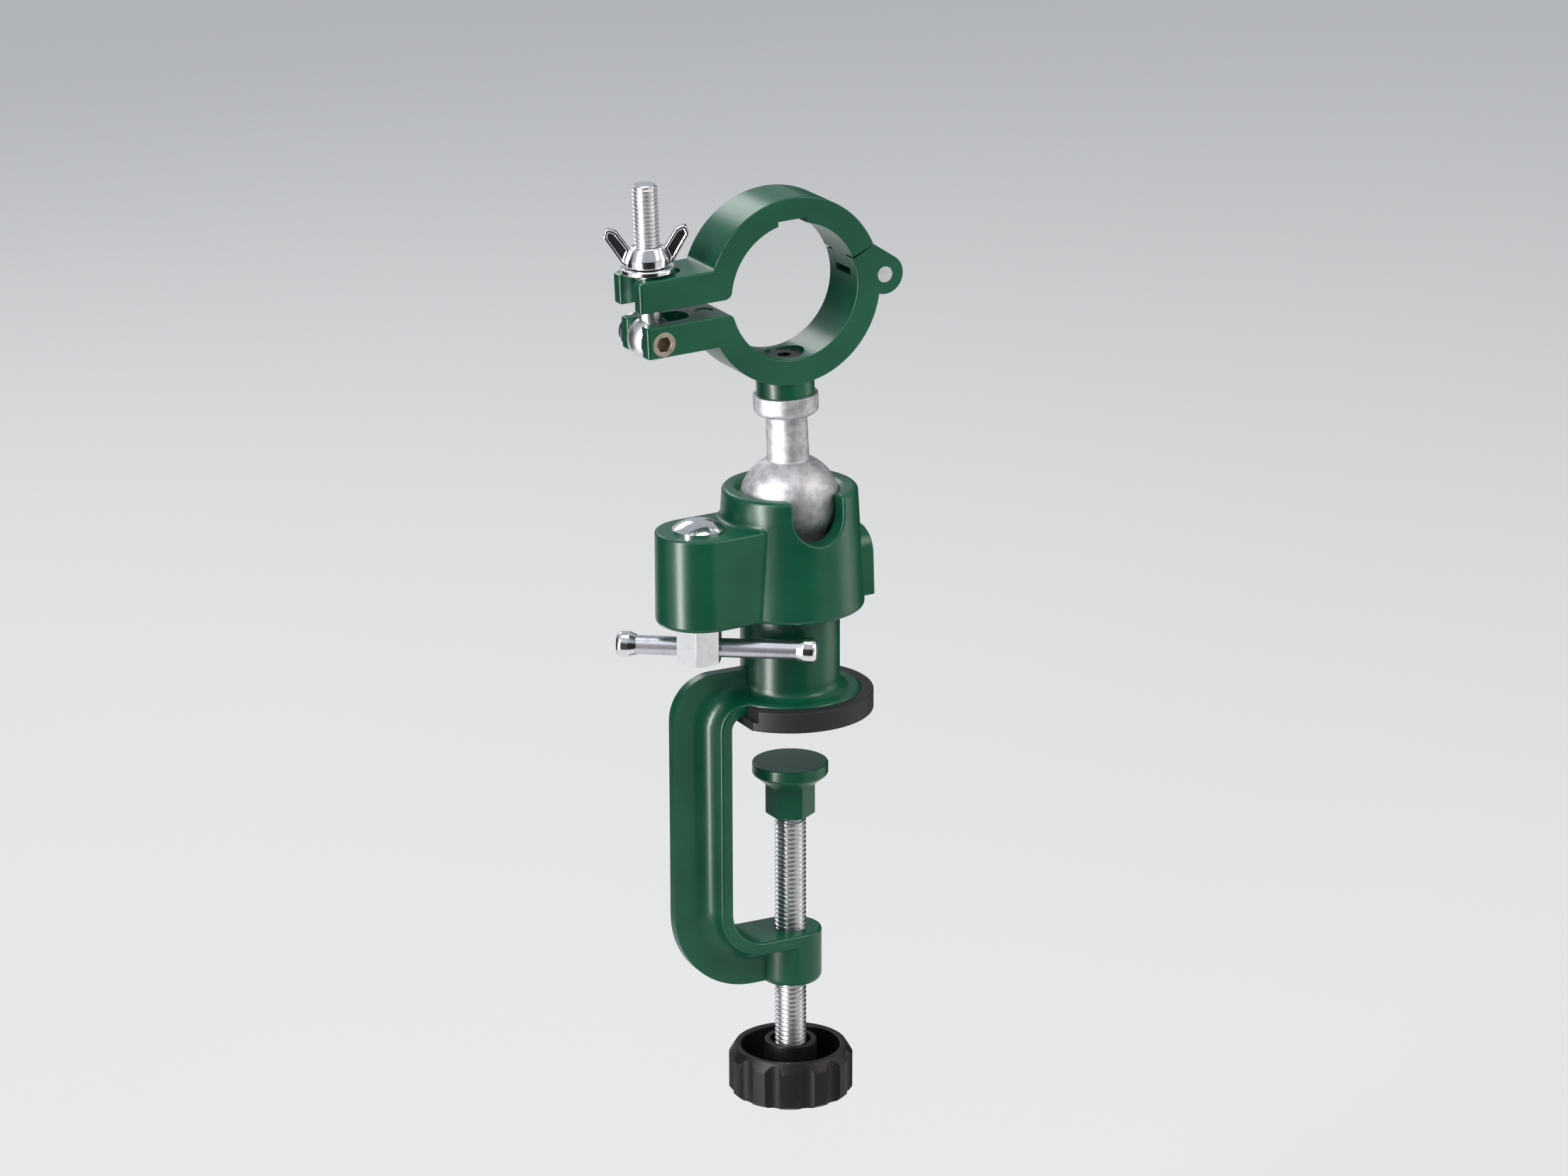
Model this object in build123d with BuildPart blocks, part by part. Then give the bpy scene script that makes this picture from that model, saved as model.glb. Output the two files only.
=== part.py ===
from build123d import *
import math
import os

# A clamp for the edge of a table. It carries a ring clamp on a ball joint.
#
# Millimetres. The origin is the middle of the pad's underside, on the table top. +Z is up,
# the C of the clamp reaches round the table's edge on the -X side, and the notch of the
# swivel head and the front of the ring face -Y.

# ------------------------------------------------------------------ fits and edges
running_fit = 0.06  # radial gap of a shaft that turns or slides in its hole
glide_gap = 0.3  # gap between round faces that move past each other
flat_gap = 0.2  # gap between flat faces that slide past each other
cast_edge = 1.0  # rounding of the casting's edges
fine_edge = 0.5  # rounding of small edges

# ------------------------------------------------------------------ table clamp
table_thickness = 18.0  # the board that the clamp is shown closed on
pad_diameter = 52.3
pad_rim_height = 6.6
pad_floor = 2.8  # the pad's bottom, under the casting
pad_rim_flat = 19.8  # its rim ends here, beside the arm
flange_diameter = 44.0
flange_thickness = 4.2
flange_step = 0.3  # the round flange is this much thicker than the arm's
arm_width = 19.8  # the T section's inner flange
web_thickness = 3.4
web_root = 6.0  # radius between web and flange
throat_face = 25.0  # inner face of the C, from the post's axis
arm_depth = 16.5  # inner face to the back of the web
arm_top = 15.5
throat_floor = 73.5  # inner face of the lower arm, below the table top
throat_top_radius = 4.0
throat_low_radius = 11.5
back_top_radius = 14.0
back_low_radius = 27.0
boss_length = 17.5
boss_drop = 1.2  # how far the boss stands below the web
boss_edge = 2.2

# ------------------------------------------------------------------ post
post_gap = 0.5  # radial gap of the post in the head's bore, below the land
post_root = 3.0
post_top = 46.0
land_start = 36.4  # the turned land on which the head swivels
groove_height = 41.0
groove_width = 4.4
groove_depth = 1.6

# ------------------------------------------------------------------ spindle, foot and knob
spindle_diameter = 10.0
tip_diameter = 7.0
tip_length = 11.0
foot_height = 17.7
foot_disc = 24.0
foot_disc_height = 3.6
foot_cone_height = 4.4
foot_hex = 13.5
foot_turn = 32.0
knob_top = 113.7  # the knob's rim, below the table top
knob_height = 15.1
knob_diameter = 39.5
knob_rim_bore = 31.4
knob_rim_flat = 35.6
knob_bevel = 3.0
knob_floor = 3.0
knob_hub = 16.7
knob_hub_rise = 1.9
knob_recess = 13.0
knob_recess_depth = 3.0
flute_count = 12
flute_width = 6.2
flute_depth = 1.5
flute_turn = 16.4
insert_diameter = 14.0
insert_length = 10.0

# ------------------------------------------------------------------ swivel head
ball_diameter = 31.6
ball_height = 67.0
head_bottom = 33.9
head_top = 72.4
head_bottom_diameter = 46.7
head_top_diameter = 42.2
head_low_edge = 1.6
head_mouth = 34.8  # inner edge of the rim
lip_closing = 0.35  # how far the rim closes in over the ball, on each side
notch_width = 17.2  # the stem folds down into this notch
notch_edge = 0.7
lobe_turn = 4.5  # the lobe stands this far round from -X towards -Y
lobe_reach = 33.0
lobe_width = 27.0
lobe_top = 63.3
lobe_root = 1.6
badge_width = 17.0  # the arched boss opposite the lobe
badge_face = 26.3
badge_top = 56.0
badge_depth = 7.0

# ------------------------------------------------------------------ lock inside the lobe
lock_bolt_diameter = 8.0
lock_head_diameter = 16.3
lock_head_height = 3.6
lock_head_edge = 0.7
lock_square = 8.0
lock_web = 4.6  # the lobe's top, which holds the square
lock_bore = 15.0
lock_bolt_end = 30.5
shoe_height = 12.0
shoe_width = 11.6
wedge_gap = 1.2  # between the noses of the two cones
wedge_slope = 2.1  # how far each cone rises and widens
lower_wedge_height = 6.3
seat_height = 9.8
seat_bore = 10.0
nut_hex = 13.0
nut_bottom = 20.9
nut_chamfer = 0.9
nut_spigot = 14.2
bar_height = 25.6
bar_turn = -34.0  # the bar's direction from +X
bar_diameter = 6.0
bar_length = 62.5  # over the caps
bar_offset = 5.45  # the bar is pushed this far through the nut
cap_diameter = 8.2
cap_length = 6.2
cap_neck = 6.6  # where the cap starts on the bar
cap_swell = 2.0  # from there to the full diameter
cap_edge = 1.9
cap_hole = 4.2
screw_size = 6.0  # retaining screw in the arched boss
screw_recess = 1.0
screw_socket = 3.0  # across flats, and as deep
dog_diameter = 3.6

# ------------------------------------------------------------------ ball stud
stud_lean = 2.2  # the ball stud leans this far towards -X
stem_diameter = 13.2
stem_top_diameter = 12.8
stem_root = 0.7
cup_bottom = 28.9  # above the ball's centre
cup_top = 35.4
cup_diameter = 20.2
cup_edge = 2.0
socket_depth = 4.4
stud_screw_diameter = 6.0
stud_screw_head = 11.6
stud_screw_sink = 0.5  # the screw's head lies this far below the ring's bore
stud_screw_depth = 13.0  # its length in the stem
stud_screw_socket = 4.0

# ------------------------------------------------------------------ ring clamp
pipe_diameter = 43.0  # what the ring is made to hold
ring_wall = 8.0
ring_depth = 18.4
neck_diameter = 18.0
neck_reach = 4.6  # from the ring down to the cup
upper_lug_reach = 22.8  # lugs, slots and pivots beyond the ring
upper_lug_top = 10.8
upper_lug_bottom = 1.1
lower_lug_reach = 20.9
lower_lug_top = -3.6
lower_lug_bottom = -13.4
fork_width = 9.4
upper_fork_reach = 5.1
lower_fork_reach = 2.9
jaw_mouth_radius = 2.5
dimple_diameter = 5.6  # shallow mark on the lower lug
dimple_depth = 0.3
relief_width = 9.9
relief_depth = 1.0
seat_bevel_length = 2.3  # the lug's top falls away at its end, so that the bolt swings clear
seat_bevel_drop = 0.75
hinge_reach = 1.5
hinge_z = 0.5
knuckle_radius = 6.2
barrel_radius = 6.0
hinge_pin_diameter = 5.0
tongue_width = 9.0
split_angle = 21.0  # where the jaws part on the hinge side
split_taper = 4.0  # the gap widens inwards, so that the jaws can close further
split_corner = 0.3
tongue_angle = 8.0  # the tongue's lower end in the ring's wall
slot_angle = 2.0  # the slot's floor below it

# ------------------------------------------------------------------ swing bolt, washer and wing nut
pivot_reach = 15.4
pivot_z = -9.3
pivot_diameter = 7.6
pivot_socket = 4.5
pivot_socket_depth = 4.0
pivot_screw_diameter = 5.0
pivot_screw_length = 10.0
pivot_head_diameter = 11.8
pivot_head_height = 2.6
swing_bolt_diameter = 8.0
swing_neck_diameter = 7.0
swing_neck_top = 13.5
swing_bolt_length = 48.0
eye_diameter = 14.4
washer_diameter = 16.6
washer_thickness = 1.6
washer_lift = 0.8  # the washer stands clear of the lug, so that the bolt can swing
wing_turn = -24.0
wing_hub_diameter = 13.0
wing_hub_height = 6.2
wing_span = 26.0
wing_height = 12.3
wing_thickness = 3.0

# ------------------------------------------------------------------ levels and radii worked out
flange_top = pad_floor + flange_thickness
bore_radius = ball_diameter / 2 + glide_gap
land_radius = bore_radius - running_fit
post_radius = bore_radius - post_gap
pad_flat = throat_face - throat_top_radius  # the pad ends where the C starts to turn down
foot_bottom = -(table_thickness + foot_height)
boss_bottom = -(throat_floor + boss_length)
knob_bottom = -(knob_top + knob_height)
knob_hub_top = -(knob_top - knob_hub_rise)
spindle_end = knob_bottom + knob_floor
wedge_middle = post_top + 1.0
web_level = lobe_top - lock_web
nut_top = head_bottom - flat_gap
upper_wedge_nose = wedge_middle + wedge_gap / 2
lower_wedge_nose = wedge_middle - wedge_gap / 2
lower_wedge_end = lower_wedge_nose - lower_wedge_height
pipe_radius = pipe_diameter / 2
ring_radius = pipe_radius + ring_wall
ring_height = cup_top + neck_reach + ring_radius  # above the ball's centre
upper_lug_end = ring_radius + upper_lug_reach
lower_lug_end = ring_radius + lower_lug_reach
upper_fork_end = ring_radius + upper_fork_reach
lower_fork_end = ring_radius + lower_fork_reach
hinge_x = ring_radius + hinge_reach
pivot_x = -(ring_radius + pivot_reach)
half_depth = ring_depth / 2
half_fork = fork_width / 2
half_eye = half_fork - flat_gap
washer_base = upper_lug_top - pivot_z + washer_lift

# ------------------------------------------------------------------ frames
up = Vector(0, 0, 1)
lobe_direction = Vector(-1, 0, 0).rotate(Axis.Z, lobe_turn)
lobe_frame = Plane(lobe_direction * lobe_reach)
lobe_section = Plane((0, 0, 0), x_dir=lobe_direction, z_dir=lobe_direction.cross(up))
bar_frame = Plane(
    lobe_frame.origin + up * bar_height, x_dir=up, z_dir=Vector(1, 0, 0).rotate(Axis.Z, bar_turn)
)
stud_up = up.rotate(Axis.Y, -stud_lean)
stud_frame = Plane((0, 0, ball_height), x_dir=Vector(1, 0, 0).rotate(Axis.Y, -stud_lean), z_dir=stud_up)
ring_frame = stud_frame.offset(ring_height)


def upright(direction, distance=0.0, level=0.0):
    """A plane that faces a level direction, with its own Y upwards."""
    return Plane(direction * distance + up * level, x_dir=up.cross(direction), z_dir=direction)


def shifted(frame, x, z):
    """The frame moved along its own X and Z."""
    return Plane(frame.from_local_coords((x, 0, z)), x_dir=frame.x_dir, z_dir=frame.z_dir)


def front_of(frame, forward=0.0):
    """The frame's upright plane that faces the front: X to the right, the frame's Z up."""
    return Plane(frame.origin, x_dir=frame.x_dir, z_dir=frame.y_dir * -1).offset(forward)


def axis_of(frame):
    """The frame's own Z axis."""
    return Axis(frame.origin, frame.z_dir)


def outline(*corners):
    """A closed outline through corners, each (x, y) or (x, y, rounding radius)."""
    radii = [corner[2] if len(corner) > 2 else 0 for corner in corners]
    return FilletPolyline(*[corner[:2] for corner in corners], radius=radii, close=True)


def c_line(back, top, bottom, top_radius, bottom_radius):
    """The open line of a C, from the post's axis out, down and back."""
    corners = ((0, top), (back, top), (back, bottom), (0, bottom))
    return FilletPolyline(*corners, radius=[top_radius, bottom_radius])


def on_radial(radius, angle):
    """The point at a radius and an angle in degrees."""
    return radius * math.cos(math.radians(angle)), radius * math.sin(math.radians(angle))


def tangent_point(corner, centre, radius):
    """Where a line from a corner above a circle touches the circle's right-hand side."""
    across, rise = corner[0] - centre[0], corner[1] - centre[1]
    turn = math.degrees(math.atan2(rise, across) - math.acos(radius / math.hypot(across, rise)))
    x, y = on_radial(radius, turn)
    return centre[0] + x, centre[1] + y


def distance_from(middle, point):
    """How far a point lies from an axis."""
    return (point - middle.position).cross(middle.direction).length


def outer_edges(part, frame, half_width, clear, reach):
    """The part's front and back edges outside a radius about the frame's Y and left of a reach."""
    middle = Axis(frame.origin, frame.y_dir)
    return (
        part.edges()
        .filter_by(Axis(frame.origin, frame.z_dir), reverse=True)
        .filter_by(lambda edge: abs(abs(edge.center().Y) - half_width) < 0.01)
        .filter_by(lambda edge: distance_from(middle, edge.center()) > clear)
        .filter_by(lambda edge: frame.to_local_coords(edge.center()).X < reach)
    )


def edge_near(part, frame, x, z):
    """The part's edge along Y that lies nearest to a place in a frame."""
    return part.edges().filter_by(Axis.Y).sort_by_distance(frame.from_local_coords((x, 0, z)))[0]


def tine_edges(part, frame, end):
    """The upright edges of a fork's two tines, at the lug's end."""
    return (
        part.edges()
        .filter_by(Axis((0, 0, 0), frame.z_dir))
        .filter_by(lambda edge: frame.to_local_coords(edge.center()).X < -end + fine_edge)
    )


pivot_frame = shifted(ring_frame, pivot_x, pivot_z)
hinge_frame = shifted(ring_frame, hinge_x, hinge_z)
washer_frame = pivot_frame.offset(washer_base)
wing_frame = washer_frame.offset(washer_thickness + flat_gap)

os.makedirs("parts", exist_ok=True)

# ================================================================== clamp frame
# One casting: the C with its T section, the flange on the pad and the post of the head.
with BuildPart() as clamp_frame:
    with BuildSketch(Plane.XZ):
        with BuildLine():
            spine = c_line(
                -(throat_face + arm_depth),
                arm_top,
                boss_bottom + boss_drop,
                back_top_radius,
                back_low_radius,
            )
            core = c_line(
                -(throat_face + flange_thickness / 2),
                pad_floor + flange_thickness / 2,
                -(throat_floor + flange_thickness / 2),
                throat_top_radius + flange_thickness / 2,
                throat_low_radius + flange_thickness / 2,
            )
            Line(spine @ 0, core @ 0)
            Line(spine @ 1, core @ 1)
        make_face()
    extrude(amount=web_thickness / 2, both=True)
    with BuildSketch(Plane.XZ):
        with BuildLine():
            throat = c_line(
                -throat_face, pad_floor, -throat_floor, throat_top_radius, throat_low_radius
            )
            back = c_line(
                -(throat_face + flange_thickness),
                flange_top,
                -(throat_floor + flange_thickness),
                throat_top_radius + flange_thickness,
                throat_low_radius + flange_thickness,
            )
            Line(throat @ 0, back @ 0)
            Line(throat @ 1, back @ 1)
        make_face()
    extrude(amount=arm_width / 2, both=True)
    root_edges = clamp_frame.edges(Select.NEW).filter_by_position(
        Axis.Y, -web_thickness / 2 - 0.01, web_thickness / 2 + 0.01
    )
    fillet(root_edges, web_root)
    fillet(
        clamp_frame.edges()
        .filter_by(lambda edge: abs(abs(edge.center().Y) - arm_width / 2) < 0.01)
        .filter_by(lambda edge: edge.center().X < -0.1),
        cast_edge,
    )
    with BuildSketch(Plane.XZ):
        with BuildLine():
            outline(
                (0, boss_bottom),
                (arm_width / 2, boss_bottom, boss_edge),
                (arm_width / 2, -throat_floor, cast_edge),
                (0, -throat_floor),
            )
        make_face()
    revolve(axis=Axis.Z)
    with BuildSketch(Plane.XZ):
        with BuildLine():
            outline(
                (0, pad_floor),
                (flange_diameter / 2, pad_floor),
                (flange_diameter / 2, flange_top + flange_step, cast_edge),
                (post_radius, flange_top + flange_step, post_root),
                (post_radius, land_start),
                (land_radius, land_start + land_radius - post_radius),
                (land_radius, post_top, fine_edge),
                (0, post_top),
            )
        make_face()
    revolve(axis=Axis.Z)
    with BuildSketch(Plane.XY.offset(groove_height - groove_width / 2)):
        Circle(land_radius + 1)
        Circle(land_radius - groove_depth, mode=Mode.SUBTRACT)
    extrude(amount=groove_width, mode=Mode.SUBTRACT)
    with BuildSketch(Plane.XY.offset(boss_bottom)):
        Circle(spindle_diameter / 2 + running_fit)
    extrude(amount=boss_length, mode=Mode.SUBTRACT)
clamp_frame.part.label = "clamp_frame"
export_step(clamp_frame.part, "parts/clamp_frame.step")

# ================================================================== base pad
with BuildPart() as base_pad:
    with BuildSketch():
        Circle(pad_diameter / 2)
    extrude(amount=pad_rim_height)
    fillet(base_pad.edges(), fine_edge)
    with BuildSketch(Plane.XY.offset(pad_floor)):
        Circle(flange_diameter / 2 + flat_gap)
        with Locations((-pad_rim_flat, 0)):
            Rectangle(pad_diameter, pad_diameter, align=(Align.MAX, Align.CENTER))
    extrude(amount=pad_rim_height, mode=Mode.SUBTRACT)
    split(bisect_by=Plane.YZ.offset(-pad_flat), keep=Keep.TOP)
base_pad.part.label = "base_pad"
export_step(base_pad.part, "parts/base_pad.step")

# ================================================================== pressure foot
foot_top = -table_thickness
foot_neck_radius = foot_hex / 2
with BuildPart() as pressure_foot:
    with BuildSketch(Plane.XY.offset(foot_bottom)):
        RegularPolygon(foot_hex / 2, 6, major_radius=False, rotation=foot_turn)
    extrude(amount=foot_height - foot_disc_height)
    chamfer(pressure_foot.faces().sort_by(Axis.Z)[0].edges(), fine_edge)
    with BuildSketch(Plane.XZ):
        with BuildLine():
            outline(
                (0, foot_top),
                (foot_disc / 2, foot_top, fine_edge),
                (foot_disc / 2, foot_top - foot_disc_height, cast_edge),
                (foot_neck_radius, foot_top - foot_disc_height - foot_cone_height),
                (0, foot_top - foot_disc_height - foot_cone_height),
            )
        make_face()
    revolve(axis=Axis.Z)
    with BuildSketch(Plane.XY.offset(foot_bottom)):
        Circle(tip_diameter / 2 + running_fit)
    extrude(amount=tip_length + flat_gap, mode=Mode.SUBTRACT)
pressure_foot.part.label = "pressure_foot"
export_step(pressure_foot.part, "parts/pressure_foot.step")

# ================================================================== spindle
shoulder = foot_bottom - flat_gap
with BuildPart() as spindle:
    with BuildSketch(Plane.XZ):
        with BuildLine():
            outline(
                (0, spindle_end),
                (spindle_diameter / 2 - fine_edge, spindle_end),
                (spindle_diameter / 2, spindle_end + fine_edge),
                (spindle_diameter / 2, shoulder - fine_edge),
                (spindle_diameter / 2 - fine_edge, shoulder),
                (tip_diameter / 2, shoulder),
                (tip_diameter / 2, foot_bottom + tip_length, fine_edge),
                (0, foot_bottom + tip_length),
            )
        make_face()
    revolve(axis=Axis.Z)
spindle.part.label = "spindle"
export_step(spindle.part, "parts/spindle.step")

# ================================================================== knob and its insert
flute_radius = ((flute_width / 2) ** 2 + flute_depth**2) / (2 * flute_depth)
insert_bottom = spindle_end
with BuildPart() as spindle_knob:
    with BuildSketch(Plane.XZ):
        with BuildLine():
            outline(
                (0, knob_bottom),
                (knob_diameter / 2 - cast_edge, knob_bottom),
                (knob_diameter / 2, knob_bottom + cast_edge),
                (knob_diameter / 2, -knob_top - knob_bevel),
                (knob_rim_flat / 2, -knob_top),
                (knob_rim_bore / 2, -knob_top, fine_edge),
                (knob_rim_bore / 2, spindle_end, cast_edge),
                (knob_hub / 2, spindle_end, cast_edge),
                (knob_hub / 2, knob_hub_top, fine_edge),
                (knob_recess / 2, knob_hub_top),
                (knob_recess / 2, knob_hub_top - knob_recess_depth),
                (spindle_diameter / 2, knob_hub_top - knob_recess_depth),
                (spindle_diameter / 2, insert_bottom + insert_length),
                (insert_diameter / 2, insert_bottom + insert_length),
                (insert_diameter / 2, insert_bottom),
                (0, insert_bottom),
            )
        make_face()
    revolve(axis=Axis.Z)
    with BuildSketch(Plane.XY.offset(knob_bottom)):
        flute_axis = knob_diameter / 2 - flute_depth + flute_radius
        with PolarLocations(flute_axis, flute_count, start_angle=flute_turn):
            Circle(flute_radius)
    extrude(amount=knob_height, mode=Mode.SUBTRACT)
spindle_knob.part.label = "spindle_knob"
export_step(spindle_knob.part, "parts/spindle_knob.step")

with BuildPart() as knob_insert:
    with BuildSketch(Plane.XY.offset(insert_bottom)):
        Circle(insert_diameter / 2)
        Circle(spindle_diameter / 2, mode=Mode.SUBTRACT)
    extrude(amount=insert_length)
knob_insert.part.label = "knob_insert"
export_step(knob_insert.part, "parts/knob_insert.step")

# ================================================================== swivel head
# A tapered collar with the ball's socket above and the post's bore below, a lobe for the
# lock bolt, an arched boss for the retaining screw, and a notch for the stem.
lip_radius = ball_diameter / 2 - lip_closing
lip_angle = math.degrees(math.acos(lip_radius / bore_radius))
socket_arc = on_radial(bore_radius, lip_angle / 2)
socket_lip_height = ball_height + on_radial(bore_radius, lip_angle)[1]
head_taper = math.degrees(
    math.atan2((head_bottom_diameter - head_top_diameter) / 2, head_top - head_bottom)
)
badge_plane = upright(lobe_direction * -1, badge_face, head_bottom).rotated((-head_taper, 0, 0))
badge_rise = badge_top - head_bottom - badge_width / 2
with BuildPart() as swivel_head:
    with BuildSketch(Plane.XY.offset(head_bottom)):
        with Locations((lobe_direction.X * lobe_reach / 2, lobe_direction.Y * lobe_reach / 2)):
            SlotCenterToCenter(lobe_reach, lobe_width, rotation=lobe_turn)
    extrude(amount=lobe_top - head_bottom)
    fillet(swivel_head.faces().sort_by(Axis.Z)[-1].edges(), 0.8 * cast_edge)
    with BuildSketch(Plane.XZ):
        with BuildLine():
            outline(
                (0, head_bottom),
                (head_bottom_diameter / 2, head_bottom),
                (head_top_diameter / 2, head_top, 1.5 * cast_edge),
                (0, head_top),
            )
        make_face()
    revolve(axis=Axis.Z)
    fillet(swivel_head.edges(Select.NEW), lobe_root)
    fillet(swivel_head.faces().sort_by(Axis.Z)[0].edges(), head_low_edge)
    with BuildSketch(badge_plane):
        with Locations((0, badge_rise)):
            Circle(badge_width / 2)
            Rectangle(badge_width, badge_rise - fine_edge, align=(Align.CENTER, Align.MAX))
    extrude(amount=-badge_depth)
    fillet(swivel_head.faces().sort_by(Axis.X)[-1].edges(), 0.8 * cast_edge)
    with BuildSketch(Plane.XZ):
        with Locations((0, ball_height)):
            Circle(notch_width / 2)
            Rectangle(notch_width, ball_height, align=(Align.CENTER, Align.MIN))
    extrude(amount=head_bottom_diameter, mode=Mode.SUBTRACT)
    fillet(
        swivel_head.edges(Select.NEW).filter_by(lambda edge: edge.center().Y < -head_mouth / 2),
        notch_edge,
    )
    with BuildSketch(Plane.XZ):
        with BuildLine():
            Polyline((0, 0), (bore_radius, 0), (bore_radius, ball_height))
            ThreePointArc(
                (bore_radius, ball_height),
                (socket_arc[0], ball_height + socket_arc[1]),
                (lip_radius, socket_lip_height),
            )
            Polyline((lip_radius, socket_lip_height), (head_mouth / 2, head_top))
            Polyline((head_mouth / 2, head_top), (0, head_top), (0, 0))
        make_face()
    revolve(axis=Axis.Z, mode=Mode.SUBTRACT)
    with BuildSketch(lobe_frame):
        Circle(lock_bore / 2)
    extrude(amount=web_level, mode=Mode.SUBTRACT)
    with BuildSketch(lobe_frame):
        Rectangle(lock_square + flat_gap, lock_square + flat_gap, rotation=lobe_turn)
    extrude(amount=head_top, mode=Mode.SUBTRACT)
    with BuildSketch(upright(lobe_direction)):
        with Locations((0, wedge_middle)):
            Rectangle(shoe_width + 2 * flat_gap, shoe_height + 2 * flat_gap)
    extrude(amount=lobe_reach, mode=Mode.SUBTRACT)
    with BuildSketch(upright(lobe_direction * -1)):
        with Locations((0, groove_height)):
            Circle(screw_size / 2)
    extrude(amount=badge_face + badge_depth, mode=Mode.SUBTRACT)
swivel_head.part.label = "swivel_head"
export_step(swivel_head.part, "parts/swivel_head.step")

# ================================================================== lock
# The bolt draws the nut up and presses two cones against the shoe, which grips ball and post.
dome_radius = ((lock_head_diameter / 2) ** 2 + (lock_head_height - lock_head_edge) ** 2) / (
    2 * (lock_head_height - lock_head_edge)
)
dome_middle = on_radial(dome_radius, 90 - math.degrees(math.asin(lock_head_diameter / 4 / dome_radius)))
dome_centre = lobe_top + lock_head_height - dome_radius
with BuildPart() as lock_bolt:
    with BuildSketch(front_of(lobe_frame)):
        with BuildLine():
            ThreePointArc(
                (lock_head_diameter / 2, lobe_top + lock_head_edge),
                (dome_middle[0], dome_centre + dome_middle[1]),
                (0, lobe_top + lock_head_height),
            )
            Polyline(
                (0, lobe_top + lock_head_height),
                (0, lock_bolt_end),
                (lock_bolt_diameter / 2 - fine_edge, lock_bolt_end),
                (lock_bolt_diameter / 2, lock_bolt_end + fine_edge),
                (lock_bolt_diameter / 2, lobe_top),
                (lock_head_diameter / 2, lobe_top),
                (lock_head_diameter / 2, lobe_top + lock_head_edge),
            )
        make_face()
    revolve(axis=axis_of(lobe_frame))
    with BuildSketch(lobe_frame.offset(web_level)):
        Rectangle(lock_square, lock_square, rotation=lobe_turn)
    extrude(amount=lock_web)
lock_bolt.part.label = "lock_bolt"
export_step(lock_bolt.part, "parts/lock_bolt.step")

wedge_outer = lock_bore / 2 - running_fit
wedge_inner = lock_bolt_diameter / 2 + flat_gap
wedge_nose = wedge_outer - wedge_slope


def wedge(nose, slope_end, end):
    """The outline of one cone about the lock bolt."""
    return outline(
        (wedge_inner, nose),
        (wedge_nose, nose),
        (wedge_outer, slope_end),
        (wedge_outer, end),
        (wedge_inner, end),
    )


with BuildPart() as upper_wedge:
    with BuildSketch(front_of(lobe_frame)):
        with BuildLine():
            wedge(upper_wedge_nose, upper_wedge_nose + wedge_slope, web_level - flat_gap)
        make_face()
    revolve(axis=axis_of(lobe_frame))
upper_wedge.part.label = "upper_wedge"
export_step(upper_wedge.part, "parts/upper_wedge.step")

with BuildPart() as lower_wedge:
    with BuildSketch(front_of(lobe_frame)):
        with BuildLine():
            wedge(lower_wedge_nose, lower_wedge_nose - wedge_slope, lower_wedge_end)
        make_face()
    revolve(axis=axis_of(lobe_frame))
lower_wedge.part.label = "lower_wedge"
export_step(lower_wedge.part, "parts/lower_wedge.step")

shoe_nose = lobe_reach - wedge_nose
shoe_slope = (shoe_height - wedge_gap) / 2 + running_fit
with BuildPart() as clamp_shoe:
    with BuildSketch(lobe_section):
        with BuildLine():
            outline(
                (0, wedge_middle - shoe_height / 2),
                (shoe_nose - shoe_slope, wedge_middle - shoe_height / 2),
                (shoe_nose, lower_wedge_nose + running_fit),
                (shoe_nose, upper_wedge_nose - running_fit),
                (shoe_nose - shoe_slope, wedge_middle + shoe_height / 2),
                (0, wedge_middle + shoe_height / 2),
            )
        make_face()
    extrude(amount=shoe_width / 2, both=True)
    with BuildSketch():
        Circle(land_radius + glide_gap)
    extrude(amount=head_top, mode=Mode.SUBTRACT)
    split(bisect_by=upright(lobe_direction), keep=Keep.TOP)
clamp_shoe.part.label = "clamp_shoe"
export_step(clamp_shoe.part, "parts/clamp_shoe.step")

with BuildPart() as ball_seat:
    with BuildSketch(Plane.XY.offset(post_top + flat_gap)):
        Circle(ball_diameter / 2)
        Circle(seat_bore / 2, mode=Mode.SUBTRACT)
    extrude(amount=seat_height)
    with Locations((0, 0, ball_height)):
        Sphere(bore_radius, mode=Mode.SUBTRACT)
ball_seat.part.label = "ball_seat"
export_step(ball_seat.part, "parts/ball_seat.step")

# The screw's dog runs in the post's groove and keeps the head on the post.
screw_start = land_radius + glide_gap
with BuildPart() as retaining_screw:
    with BuildSketch(upright(lobe_direction * -1, screw_start, groove_height)):
        Circle(screw_size / 2)
    extrude(amount=badge_face - screw_recess - screw_start)
    with BuildSketch(upright(lobe_direction * -1, screw_start, groove_height)):
        Circle(dog_diameter / 2)
    extrude(amount=-(screw_start - land_radius + groove_depth - glide_gap))
    with BuildSketch(upright(lobe_direction * -1, badge_face - screw_recess, groove_height)):
        RegularPolygon(screw_socket / 2, 6, major_radius=False)
    extrude(amount=-screw_socket, mode=Mode.SUBTRACT)
retaining_screw.part.label = "retaining_screw"
export_step(retaining_screw.part, "parts/retaining_screw.step")

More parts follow.
